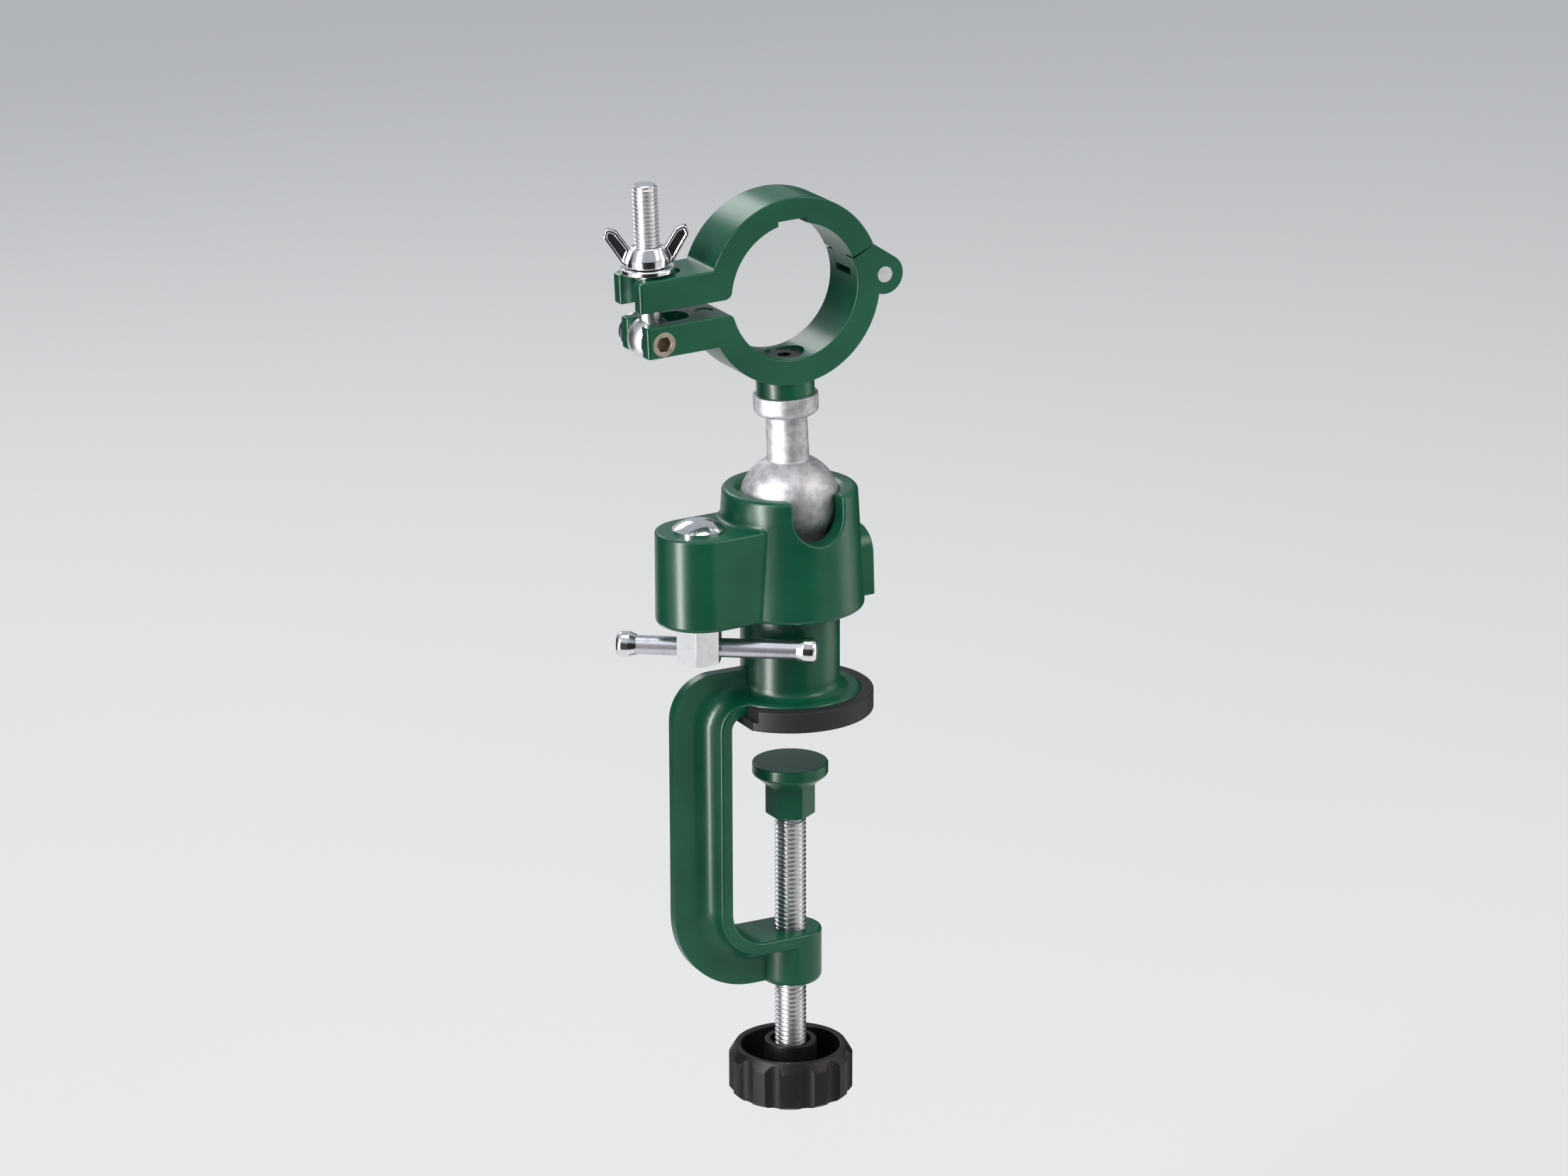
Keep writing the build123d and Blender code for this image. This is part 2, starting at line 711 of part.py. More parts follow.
# ================================================================== lock nut and tommy bar
nut_corner = nut_hex / math.sqrt(3) + fine_edge
with BuildPart() as lock_nut:
    with BuildSketch(lobe_frame.offset(nut_bottom)):
        RegularPolygon(nut_hex / 2, 6, major_radius=False, rotation=bar_turn + 30)
    extrude(amount=nut_top - nut_bottom)
    with BuildSketch(front_of(lobe_frame)):
        with BuildLine():
            outline(
                (0, nut_bottom),
                (nut_hex / 2 - fine_edge, nut_bottom),
                (nut_corner, nut_bottom + nut_chamfer),
                (nut_corner, nut_top),
                (0, nut_top),
            )
        make_face()
    revolve(axis=axis_of(lobe_frame), mode=Mode.INTERSECT)
    with BuildSketch(lobe_frame.offset(nut_top)):
        Circle(nut_spigot / 2)
    extrude(amount=lower_wedge_end - flat_gap - nut_top)
    with BuildSketch(lobe_frame.offset(lower_wedge_end)):
        Circle(lock_bolt_diameter / 2 + running_fit)
    extrude(amount=-(lower_wedge_end - lock_bolt_end + glide_gap), mode=Mode.SUBTRACT)
    with BuildSketch(bar_frame):
        Circle(bar_diameter / 2 + running_fit)
    extrude(amount=nut_hex, both=True, mode=Mode.SUBTRACT)
lock_nut.part.label = "lock_nut"
export_step(lock_nut.part, "parts/lock_nut.step")

bar_middle = bar_frame.offset(bar_offset)
bar_half = bar_length / 2 - (cap_length - cap_hole)
cap_start = bar_length / 2 - cap_length
with BuildPart() as tommy_bar:
    with BuildSketch(bar_middle):
        Circle(bar_diameter / 2)
    extrude(amount=bar_half, both=True)
tommy_bar.part.label = "tommy_bar"
export_step(tommy_bar.part, "parts/tommy_bar.step")

with BuildPart() as bar_end_caps:
    with BuildSketch(Plane(bar_middle.origin, x_dir=up, z_dir=up.cross(bar_middle.z_dir))):
        with BuildLine():
            outline(
                (0, cap_start),
                (cap_neck / 2, cap_start),
                (cap_diameter / 2, cap_start + cap_swell, cap_edge),
                (cap_diameter / 2, bar_length / 2, cap_edge),
                (0, bar_length / 2),
            )
        make_face()
    revolve(axis=axis_of(bar_middle))
    with BuildSketch(bar_middle):
        Circle(bar_diameter / 2)
    extrude(amount=bar_half, mode=Mode.SUBTRACT)
    mirror(about=bar_middle)
bar_end_caps.part.label = "bar_end_caps"
export_step(bar_end_caps.part, "parts/bar_end_caps.step")

# ================================================================== ball stud and its screw
# The ball, the stem and the cup are one casting. Heights run from the ball's centre.
socket_floor = cup_top - socket_depth
screw_head_top = ring_height - pipe_radius - stud_screw_sink
screw_cone_start = screw_head_top - (stud_screw_head - stud_screw_diameter) / 2
stud_screw_end = socket_floor - stud_screw_depth
ball_radius = ball_diameter / 2
stem_start = math.sqrt(ball_radius**2 - (stem_diameter / 2) ** 2)


def stem_foot(part):
    """The edge where the stem leaves the ball."""
    foot = stud_frame.from_local_coords((0, 0, stem_start))
    circles = part.edges().filter_by(GeomType.CIRCLE)
    return circles.sort_by(lambda edge: (edge.arc_center - foot).length)[0]


with BuildPart() as ball_stud:
    with BuildSketch(front_of(stud_frame)):
        with BuildLine():
            ThreePointArc((0, -ball_radius), (ball_radius, 0), (0, ball_radius))
            Line((0, ball_radius), (0, -ball_radius))
        make_face()
        with BuildLine():
            outline(
                (0, 0),
                (stem_diameter / 2, 0),
                (stem_diameter / 2, stem_start),
                (stem_top_diameter / 2, cup_bottom),
                (cup_diameter / 2, cup_bottom, cup_edge),
                (cup_diameter / 2, cup_top, 0.6 * fine_edge),
                (neck_diameter / 2 + running_fit, cup_top),
                (neck_diameter / 2 + running_fit, socket_floor),
                (0, socket_floor),
            )
        make_face()
    revolve(axis=axis_of(stud_frame))
    fillet(stem_foot(ball_stud), stem_root)
    with BuildSketch(stud_frame.offset(stud_screw_end - 2 * cast_edge)):
        Circle(stud_screw_diameter / 2)
    extrude(amount=cup_top, mode=Mode.SUBTRACT)
ball_stud.part.label = "ball_stud"
export_step(ball_stud.part, "parts/ball_stud.step")

with BuildPart() as stud_screw:
    with BuildSketch(front_of(stud_frame)):
        with BuildLine():
            outline(
                (0, stud_screw_end),
                (stud_screw_diameter / 2, stud_screw_end),
                (stud_screw_diameter / 2, screw_cone_start),
                (stud_screw_head / 2, screw_head_top),
                (0, screw_head_top),
            )
        make_face()
    revolve(axis=axis_of(stud_frame))
    with BuildSketch(stud_frame.offset(screw_head_top)):
        RegularPolygon(stud_screw_socket / 2, 6, major_radius=False)
    extrude(amount=-stud_screw_socket / 2, mode=Mode.SUBTRACT)
stud_screw.part.label = "stud_screw"
export_step(stud_screw.part, "parts/stud_screw.step")

# ================================================================== lower jaw
# Half a ring with a forked lug for the swing bolt, two hinge ears and the neck that turns in
# the cup. The ears' upper faces lie on a line just inside the upper jaw's end.
hinge_axis = (hinge_x, hinge_z)
ear_corner = on_radial(ring_radius + split_corner / 2, split_angle - split_corner)
ear_slope = on_radial(ring_radius, split_angle + split_taper)
ear_inner = (ear_corner[0] - ear_slope[0] / 2, ear_corner[1] - ear_slope[1] / 2)
ear_tangent = tangent_point(ear_corner, hinge_axis, knuckle_radius)
far = 2 * upper_lug_end  # past every piece of the ring
edge_clear = pipe_radius + fine_edge  # the bore's own edges stay sharp
lower_mouth = -math.sqrt(pipe_radius**2 - lower_lug_top**2)
neck_bottom = -(ring_height - socket_floor - flat_gap)
with BuildPart() as lower_jaw:
    with BuildSketch(front_of(ring_frame)):
        Circle(ring_radius)
        with BuildLine():
            outline(
                (0, lower_lug_bottom),
                (-lower_lug_end, lower_lug_bottom),
                (-lower_lug_end, lower_lug_top),
                (0, lower_lug_top),
            )
        make_face()
        with Locations(hinge_axis):
            Circle(knuckle_radius)
        with BuildLine():
            outline(ear_corner, ear_tangent, hinge_axis, ear_inner)
        make_face()
        with BuildLine():
            outline(
                (-far, lower_lug_top),
                (0, lower_lug_top),
                ear_inner,
                ear_corner,
                (ear_corner[0], far),
                (-far, far),
            )
        make_face(mode=Mode.SUBTRACT)
        Circle(pipe_radius, mode=Mode.SUBTRACT)
    extrude(amount=half_depth, both=True)
    fillet(edge_near(lower_jaw, ring_frame, lower_mouth, lower_lug_top), jaw_mouth_radius)
    with BuildSketch(ring_frame.offset(lower_lug_bottom)):
        with Locations((-lower_fork_end - half_fork, 0)):
            Circle(half_fork)
            Rectangle(lower_lug_end, fork_width, align=(Align.MAX, Align.CENTER))
    extrude(amount=-lower_lug_bottom, mode=Mode.SUBTRACT)
    fillet(tine_edges(lower_jaw, ring_frame, lower_lug_end), cast_edge)
    fillet(outer_edges(lower_jaw, ring_frame, half_depth, edge_clear, neck_diameter), fine_edge)
    with BuildSketch(ring_frame.offset(neck_bottom)):
        Circle(neck_diameter / 2)
    extrude(amount=-neck_bottom - (pipe_radius + ring_radius) / 2)
    with BuildSketch(front_of(stud_frame)):
        with BuildLine():
            outline(
                (0, cup_bottom),
                (stud_screw_diameter / 2 + glide_gap, cup_bottom),
                (stud_screw_diameter / 2 + glide_gap, screw_cone_start - glide_gap / 2),
                (stud_screw_head / 2 + 1.5 * glide_gap, screw_head_top),
                (stud_screw_head / 2 + 1.5 * glide_gap, ring_height),
                (0, ring_height),
            )
        make_face()
    revolve(axis=axis_of(stud_frame), mode=Mode.SUBTRACT)
    with BuildSketch(ring_frame.offset(lower_lug_top)):
        with Locations((-(pipe_radius + ring_radius + jaw_mouth_radius) / 2, 0)):
            Circle(dimple_diameter / 2)
    extrude(amount=-dimple_depth, mode=Mode.SUBTRACT)
    with BuildSketch(front_of(ring_frame)):
        with Locations(hinge_axis):
            Circle(barrel_radius + 2 * glide_gap)
        with BuildLine():
            outline((0, 0), on_radial(far, slot_angle), on_radial(far, 2 * split_angle))
        make_face()
    extrude(amount=tongue_width / 2 + flat_gap, both=True, mode=Mode.SUBTRACT)
    with BuildSketch(front_of(ring_frame)):
        with Locations(hinge_axis):
            Circle(hinge_pin_diameter / 2)
        with Locations((pivot_x, pivot_z)):
            Circle(pivot_diameter / 2)
    extrude(amount=ring_depth, both=True, mode=Mode.SUBTRACT)
lower_jaw.part.label = "lower_jaw"
export_step(lower_jaw.part, "parts/lower_jaw.step")

# ================================================================== upper jaw
split_line = on_radial(far, split_angle)
jaw_corner = on_radial(ring_radius, split_angle)
upper_mouth = -math.sqrt(pipe_radius**2 - upper_lug_bottom**2)
with BuildPart() as upper_jaw:
    with BuildSketch(front_of(ring_frame)):
        Circle(ring_radius)
        with BuildLine():
            outline(
                (0, upper_lug_bottom),
                (-upper_lug_end, upper_lug_bottom),
                (-upper_lug_end, upper_lug_top - seat_bevel_drop),
                (-upper_lug_end + seat_bevel_length, upper_lug_top),
                (0, upper_lug_top),
            )
        make_face()
        with BuildLine():
            outline(
                (-far, upper_lug_bottom),
                (upper_lug_bottom / math.tan(math.radians(split_angle)), upper_lug_bottom),
                split_line,
                (far, -far),
                (-far, -far),
            )
        make_face(mode=Mode.SUBTRACT)
        Circle(pipe_radius, mode=Mode.SUBTRACT)
        with Locations((0, pipe_radius)):
            Rectangle(relief_width, 2 * relief_depth, mode=Mode.SUBTRACT)
    extrude(amount=half_depth, both=True)
    fillet(edge_near(upper_jaw, ring_frame, upper_mouth, upper_lug_bottom), jaw_mouth_radius)
    with BuildSketch(ring_frame):
        with Locations((-upper_fork_end - half_fork, 0)):
            Circle(half_fork)
            Rectangle(upper_lug_end, fork_width, align=(Align.MAX, Align.CENTER))
    extrude(amount=ring_radius, mode=Mode.SUBTRACT)
    fillet(tine_edges(upper_jaw, ring_frame, upper_lug_end), cast_edge)
    fillet(outer_edges(upper_jaw, ring_frame, half_depth, edge_clear, neck_diameter), fine_edge)
    with BuildSketch(front_of(ring_frame)):
        Circle(ring_radius)
        with BuildLine():
            outline((0, 0), on_radial(far, tongue_angle), on_radial(far, 2 * split_angle))
        make_face(mode=Mode.INTERSECT)
        with Locations(hinge_axis):
            Circle(barrel_radius)
        with BuildLine():
            outline(jaw_corner, tangent_point(jaw_corner, hinge_axis, barrel_radius), hinge_axis)
        make_face()
        Circle(pipe_radius, mode=Mode.SUBTRACT)
    extrude(amount=tongue_width / 2, both=True)
    with BuildSketch(front_of(ring_frame)):
        with Locations(hinge_axis):
            Circle(hinge_pin_diameter / 2 + running_fit)
    extrude(amount=ring_depth, both=True, mode=Mode.SUBTRACT)
upper_jaw.part.label = "upper_jaw"
export_step(upper_jaw.part, "parts/upper_jaw.step")

# ================================================================== pins of the ring clamp
with BuildPart() as hinge_pin:
    with BuildSketch(front_of(hinge_frame)):
        Circle(hinge_pin_diameter / 2)
    extrude(amount=half_depth, both=True)
hinge_pin.part.label = "hinge_pin"
export_step(hinge_pin.part, "parts/hinge_pin.step")

with BuildPart() as pivot_sleeve:
    with BuildSketch(front_of(pivot_frame)):
        Circle(pivot_diameter / 2)
    extrude(amount=half_depth, both=True)
    with BuildSketch(front_of(pivot_frame, half_depth)):
        RegularPolygon(pivot_socket / 2, 6, major_radius=False)
    extrude(amount=-pivot_socket_depth, mode=Mode.SUBTRACT)
    with BuildSketch(front_of(pivot_frame, -half_depth)):
        Circle(pivot_screw_diameter / 2)
    extrude(amount=pivot_screw_length, mode=Mode.SUBTRACT)
pivot_sleeve.part.label = "pivot_sleeve"
export_step(pivot_sleeve.part, "parts/pivot_sleeve.step")

with BuildPart() as pivot_screw:
    with BuildSketch(front_of(pivot_frame, -half_depth)):
        Circle(pivot_head_diameter / 2)
    extrude(amount=-pivot_head_height)
    fillet(pivot_screw.faces().sort_by(Axis.Y)[-1].edges(), 0.7 * pivot_head_height)
    with BuildSketch(front_of(pivot_frame, -half_depth)):
        Circle(pivot_screw_diameter / 2)
    extrude(amount=pivot_screw_length - fine_edge)
pivot_screw.part.label = "pivot_screw"
export_step(pivot_screw.part, "parts/pivot_screw.step")

# ================================================================== swing bolt, washer and wing nut
with BuildPart() as swing_bolt:
    with BuildSketch(front_of(pivot_frame)):
        with BuildLine():
            ThreePointArc((0, -eye_diameter / 2), (eye_diameter / 2, 0), (0, eye_diameter / 2))
            Line((0, eye_diameter / 2), (0, -eye_diameter / 2))
        make_face()
        with BuildLine():
            outline(
                (0, 0),
                (swing_neck_diameter / 2, 0),
                (swing_neck_diameter / 2, swing_neck_top),
                (swing_bolt_diameter / 2, swing_neck_top + fine_edge),
                (swing_bolt_diameter / 2, swing_bolt_length - cast_edge),
                (swing_bolt_diameter / 2 - cast_edge, swing_bolt_length),
                (0, swing_bolt_length),
            )
        make_face()
    revolve(axis=axis_of(pivot_frame))
    split(bisect_by=front_of(pivot_frame, half_eye), keep=Keep.BOTTOM)
    split(bisect_by=front_of(pivot_frame, -half_eye), keep=Keep.TOP)
    with BuildSketch(front_of(pivot_frame)):
        Circle(pivot_diameter / 2 + running_fit)
    extrude(amount=ring_depth, both=True, mode=Mode.SUBTRACT)
swing_bolt.part.label = "swing_bolt"
export_step(swing_bolt.part, "parts/swing_bolt.step")

with BuildPart() as washer:
    with BuildSketch(washer_frame):
        Circle(washer_diameter / 2)
        Circle(swing_bolt_diameter / 2 + glide_gap, mode=Mode.SUBTRACT)
    extrude(amount=washer_thickness)
washer.part.label = "washer"
export_step(washer.part, "parts/washer.step")

wing_side = front_of(wing_frame.rotated((0, 0, wing_turn)))
wing_root = wing_hub_diameter / 2 - 1.5 * cast_edge
with BuildPart() as wing_nut:
    with BuildSketch(wing_side):
        with BuildLine():
            outline(
                (0, 0),
                (wing_hub_diameter / 2, 0, fine_edge),
                (wing_hub_diameter / 2, 0.4 * wing_hub_height, cast_edge),
                (wing_root, wing_hub_height, cast_edge),
                (0, wing_hub_height),
            )
        make_face()
    revolve(axis=axis_of(wing_frame))
    with BuildSketch(wing_side):
        with BuildLine():
            outline(
                (wing_root, fine_edge),
                (wing_hub_diameter / 2 + cast_edge, fine_edge, 2 * cast_edge),
                (wing_span / 2, 0.76 * wing_height, cast_edge),
                (wing_span / 2 - cast_edge, wing_height, cast_edge),
                (wing_span / 2 - 4 * cast_edge, wing_height - cast_edge, cast_edge),
                (wing_root, wing_hub_height - cast_edge),
            )
        make_face()
        mirror(about=Plane.YZ)
    extrude(amount=wing_thickness / 2, both=True)
    with BuildSketch(wing_frame):
        Circle(swing_bolt_diameter / 2 + running_fit)
    extrude(amount=wing_height, mode=Mode.SUBTRACT)
wing_nut.part.label = "wing_nut"
export_step(wing_nut.part, "parts/wing_nut.step")
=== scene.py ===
"""Looks of a screw clamp that carries a hinged ring clamp on a ball joint.

Every piece is in metres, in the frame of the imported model, and rides on one of its bodies.
"""

import logging
import math
from dataclasses import dataclass
from enum import Enum
from typing import Iterable, Sequence

import bmesh
import bpy
import numpy as np
from mathutils import Matrix, Vector


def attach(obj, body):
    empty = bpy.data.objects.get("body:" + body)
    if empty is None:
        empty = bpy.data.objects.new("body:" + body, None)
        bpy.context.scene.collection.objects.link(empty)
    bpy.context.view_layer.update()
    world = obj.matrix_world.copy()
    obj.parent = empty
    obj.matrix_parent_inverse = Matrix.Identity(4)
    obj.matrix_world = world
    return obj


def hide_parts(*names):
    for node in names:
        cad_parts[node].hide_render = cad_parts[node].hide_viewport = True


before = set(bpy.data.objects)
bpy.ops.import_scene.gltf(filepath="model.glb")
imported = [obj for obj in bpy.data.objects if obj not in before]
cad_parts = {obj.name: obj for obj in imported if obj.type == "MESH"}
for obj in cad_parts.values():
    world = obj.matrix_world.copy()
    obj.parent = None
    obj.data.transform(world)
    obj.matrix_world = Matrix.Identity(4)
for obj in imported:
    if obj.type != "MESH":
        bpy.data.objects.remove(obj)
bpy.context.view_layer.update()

MM = 0.001
MERGE_DISTANCE = 2e-6
SHARP_ANGLE = math.radians(32)
BEVEL_ANGLE = math.radians(60)
BEVEL_SEGMENTS = 2
FLAT_ANGLE = math.radians(0.5)
FULL_TURN = 2 * math.pi

Colour = tuple[float, float, float]
Point = tuple[float, float, float]
Span = tuple[float, float]

logging.basicConfig(level=logging.INFO, format="%(message)s")
report = logging.getLogger("clamp")


class Body(Enum):
    """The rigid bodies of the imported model."""

    CLAMP = "clamp"
    FOOT = "foot"
    SPINDLE = "spindle"
    HEAD = "head"
    LOCK_NUT = "lock_nut"
    TOMMY_BAR = "tommy_bar"
    BALL_STUD = "ball_stud"
    LOWER_JAW = "lower_jaw"
    UPPER_JAW = "upper_jaw"
    SWING_BOLT = "swing_bolt"
    WASHER = "washer"
    WING_NUT = "wing_nut"


class Slot(Enum):
    """The record's material slots."""

    GREEN = "green_paint"
    PAD = "pad_rubber"
    KNOB = "knob_plastic"
    ZINC = "zinc_steel"
    BRIGHT = "bright_zinc"
    BLACK = "black_steel"
    CAST = "raw_cast"


# ---------------------------------------------------------------------------- shader maths
class Wire:
    """A shader socket. Arithmetic on it adds Math nodes."""

    def __init__(self, graph: "Graph", socket: bpy.types.NodeSocket) -> None:
        """Wraps an output socket of a graph.

        Args:
            graph: the node graph that new nodes go into.
            socket: the output socket.
        """
        self.graph = graph
        self.socket = socket

    def _math(self, operation: str, *values: "Wire | float") -> "Wire":
        """Adds one Math node.

        Args:
            operation: the node's operation.
            values: its inputs in order.

        Returns:
            The node's result.
        """
        return self.graph.node("ShaderNodeMath", {"operation": operation}, dict(enumerate(values)))

    def __add__(self, other: "Wire | float") -> "Wire":
        """Sum."""
        return self._math("ADD", self, other)

    __radd__ = __add__

    def __sub__(self, other: "Wire | float") -> "Wire":
        """Difference."""
        return self._math("SUBTRACT", self, other)

    def __rsub__(self, other: "Wire | float") -> "Wire":
        """Difference from a number."""
        return self._math("SUBTRACT", other, self)

    def __mul__(self, other: "Wire | float") -> "Wire":
        """Product."""
        return self._math("MULTIPLY", self, other)

    __rmul__ = __mul__

    def ease(self, low: float, high: float) -> "Wire":
        """A smooth step from 0 at low to 1 at high.

        Args:
            low: where the step starts.
            high: where it ends.

        Returns:
            The stepped value.
        """
        return self.graph.node(
            "ShaderNodeMapRange",
            {"interpolation_type": "SMOOTHSTEP"},
            {"Value": self, "From Min": low, "From Max": high},
        )

    def size(self) -> "Wire":
        """The value without its sign."""
        return self._math("ABSOLUTE", self)

    def most(self, other: "Wire | float") -> "Wire":
        """The larger of two values."""
        return self._math("MAXIMUM", self, other)


class Graph:
    """One material's node graph, with its output and its main shader."""

    def __init__(self, name: str) -> None:
        """Starts an empty material.

        Args:
            name: the material's name.
        """
        self.material = bpy.data.materials.new(name)
        self.material.use_nodes = True
        self.tree = self.material.node_tree
        self.tree.nodes.clear()
        self.out = self.tree.nodes.new("ShaderNodeOutputMaterial")

    def node(self, kind: str, settings: dict | None = None, sockets: dict | None = None,
             output: int | str = 0) -> Wire:
        """Adds one node of any type.

        Args:
            kind: the node's type.
            settings: its own settings, which are set first.
            sockets: input values or wires, by name or number.
            output: which output is returned.

        Returns:
            The chosen output.
        """
        made = self.tree.nodes.new(kind)
        for key, value in (settings or {}).items():
            setattr(made, key, value)
        for key, value in (sockets or {}).items():
            target = made.inputs[key]
            if isinstance(value, Wire):
                self.tree.links.new(value.socket, target)
            else:
                target.default_value = (*value, 1.0) if self._is_colour(target, value) else value
        return Wire(self, made.outputs[output])

    @staticmethod
    def _is_colour(target: bpy.types.NodeSocket, value: object) -> bool:
        """Whether a three-number value goes to a colour socket."""
        return target.type == "RGBA" and len(value) == 3

    def place(self) -> Wire:
        """The point on the piece, in its own coordinates."""
        return self.node("ShaderNodeTexCoord", output="Object")

    def noise(self, size: float, detail: float = 3.0, rough: float = 0.55,
              stretch: Point = (1.0, 1.0, 1.0), warp: float = 0.0) -> Wire:
        """Cloudy variation between 0 and 1.

        Args:
            size: width of one cloud, in metres.
            detail: octaves of finer clouds.
            rough: how strong the finer clouds are.
            stretch: how much closer the clouds lie along X, Y and Z.
            warp: how far the clouds are pulled about.

        Returns:
            The variation.
        """
        scaled = self.node(
            "ShaderNodeMapping",
            {"vector_type": "POINT"},
            {"Vector": self.place(), "Scale": stretch},
        )
        return self.node(
            "ShaderNodeTexNoise",
            {"noise_dimensions": "3D"},
            {"Vector": scaled, "Scale": 1.0 / size, "Detail": detail, "Roughness": rough,
             "Distortion": warp},
        )

    def grains(self, size: float) -> Wire:
        """Distance to the nearest of many scattered points, 0 at each point.

        Args:
            size: mean distance between points, in metres.

        Returns:
            The distance as a share of the size.
        """
        return self.node(
            "ShaderNodeTexVoronoi", {}, {"Vector": self.place(), "Scale": 1.0 / size}
        )

    def mix(self, factor: "Wire | float", first: "Wire | Colour", second: "Wire | Colour") -> Wire:
        """Blends two colours.

        Args:
            factor: 0 for the first, 1 for the second.
            first: a colour.
            second: a colour.

        Returns:
            The blend.
        """
        return self.node(
            "ShaderNodeMix", {"data_type": "RGBA"}, {0: factor, 6: first, 7: second}, output=2
        )

    def bump(self, height: Wire, depth: float) -> Wire:
        """Relief of a given depth.

        Args:
            height: 0 to 1.
            depth: in metres.

        Returns:
            The bent normal.
        """
        return self.node("ShaderNodeBump", {}, {"Height": height, "Distance": depth})

    def axis(self, name: str) -> Wire:
        """The point's distance along one of the piece's own axes.

        Args:
            name: X, Y or Z.

        Returns:
            The distance, in metres.
        """
        return self.node("ShaderNodeSeparateXYZ", {}, {0: self.place()}, output=name)

    def finish(self, **sockets: object) -> bpy.types.Material:
        """Adds the main shader and closes the material.

        Args:
            sockets: the shader's inputs, with underscores for spaces.

        Returns:
            The material.
        """
        named = {key.replace("_", " "): value for key, value in sockets.items()}
        shader = self.node("ShaderNodeBsdfPrincipled", {}, named, output="BSDF")
        self.tree.links.new(shader.socket, self.out.inputs["Surface"])
        return self.material


# ---------------------------------------------------------------------------- finishes
@dataclass(frozen=True)
class PowderCoat:
    """Satin green powder coat on a die casting: wide clouds, orange peel and pale grains."""

    name: str = "green_powder_coat"
    deep: Colour = (0.0016, 0.078, 0.038)
    pale: Colour = (0.0035, 0.1, 0.05)
    cloud: float = 22 * MM
    cloud_span: Span = (0.3, 0.7)
    peel: float = 0.9 * MM
    peel_depth: float = 0.012 * MM
    grain_colour: Colour = (0.05, 0.2, 0.13)
    grain_spacing: float = 1.6 * MM
    grain_radius: float = 0.13
    grain_share: float = 0.25
    roughness: float = 0.24
    cloud_roughness: float = 0.06
    peel_roughness: float = 0.05
    gloss: float = 0.35

    def material(self) -> bpy.types.Material:
        """The paint."""
        g = Graph(self.name)
        clouds = g.noise(self.cloud, detail=2.0)
        peel = g.noise(self.peel, detail=2.0, rough=0.5)
        away = g.grains(self.grain_spacing).ease(0.0, self.grain_radius)
        colour = g.mix(clouds.ease(*self.cloud_span), self.deep, self.pale)
        return g.finish(
            Base_Color=g.mix((1.0 - away) * self.grain_share, colour, self.grain_colour),
            Roughness=self.roughness + clouds * self.cloud_roughness + peel * self.peel_roughness,
            Normal=g.bump(peel, self.peel_depth),
            Specular_IOR_Level=self.gloss,
        )


@dataclass(frozen=True)
class RawCasting:
    """Raw tumbled aluminium: grey blotches, dark pits, a fine grain and the mould's seam.

    The seam lies in the plane Y = 0. Painted shade darkens the metal from the upper to the
    lower shade level, towards the bottom, where the ball goes down into the head's socket. The
    rises and the drop are shares of the relief.
    """

    name: str = "raw_cast_aluminium"
    bright: Colour = (0.58, 0.58, 0.605)
    dull: Colour = (0.34, 0.34, 0.36)
    blotch: float = 3.2 * MM
    blotch_span: Span = (0.28, 0.72)
    grain: float = 0.2 * MM
    pit_colour: Colour = (0.14, 0.14, 0.15)
    pit_spacing: float = 0.5 * MM
    pit_radii: Span = (0.08, 0.34)
    pit_share: float = 0.6
    patch: float = 1.8 * MM
    patch_span: Span = (0.45, 0.7)
    seam_colour: Colour = (0.95, 0.95, 0.96)
    seam_width: float = 0.32 * MM
    seam_share: float = 0.7
    # painted shade towards the bottom of the ball, where it sits in the head's socket: colour,
    # levels, waver and share
    painted_shade: Colour = (0.13, 0.115, 0.10)
    painted_shade_levels: Span = (51 * MM, 66 * MM)
    painted_shade_waver: float = 8 * MM
    painted_shade_share: float = 0.75
    roughness: float = 0.42
    uneven: float = 0.14
    relief: float = 0.045 * MM
    grain_rise: float = 0.5
    blotch_rise: float = 0.35
    pit_drop: float = 0.5
    seam_rise: float = 0.9

    def material(self) -> bpy.types.Material:
        """The metal."""
        g = Graph(self.name)
        blotch = g.noise(self.blotch, detail=6.0, rough=0.66, warp=0.15)
        grain = g.noise(self.grain, detail=3.0, rough=0.7)
        patches = g.noise(self.patch, detail=2.0).ease(*self.patch_span)
        pits = (1.0 - g.grains(self.pit_spacing).ease(*self.pit_radii)) * patches
        seam = 1.0 - g.axis("Y").size().ease(0.0, self.seam_width)
        # painted shade: a level that wavers with the blotches, with the metal darker below it,
        # towards the bottom
        level = g.axis("Z") + (blotch - 0.5) * self.painted_shade_waver
        low = 1.0 - level.ease(*self.painted_shade_levels)
        tone = g.mix(blotch.ease(*self.blotch_span), self.dull, self.bright)
        pitted = g.mix(pits * self.pit_share, tone, self.pit_colour)
        rubbed = g.mix(seam * grain * self.seam_share, pitted, self.seam_colour)
        height = grain * self.grain_rise + blotch * self.blotch_rise
        height = height - pits * self.pit_drop + seam * self.seam_rise
        # the base colour takes the painted shade below the shade levels
        return g.finish(
            Base_Color=g.mix(low * self.painted_shade_share, rubbed, self.painted_shade),
            Metallic=1.0,
            Roughness=self.roughness + blotch * self.uneven + grain * self.uneven,
            Normal=g.bump(height, self.relief),
        )


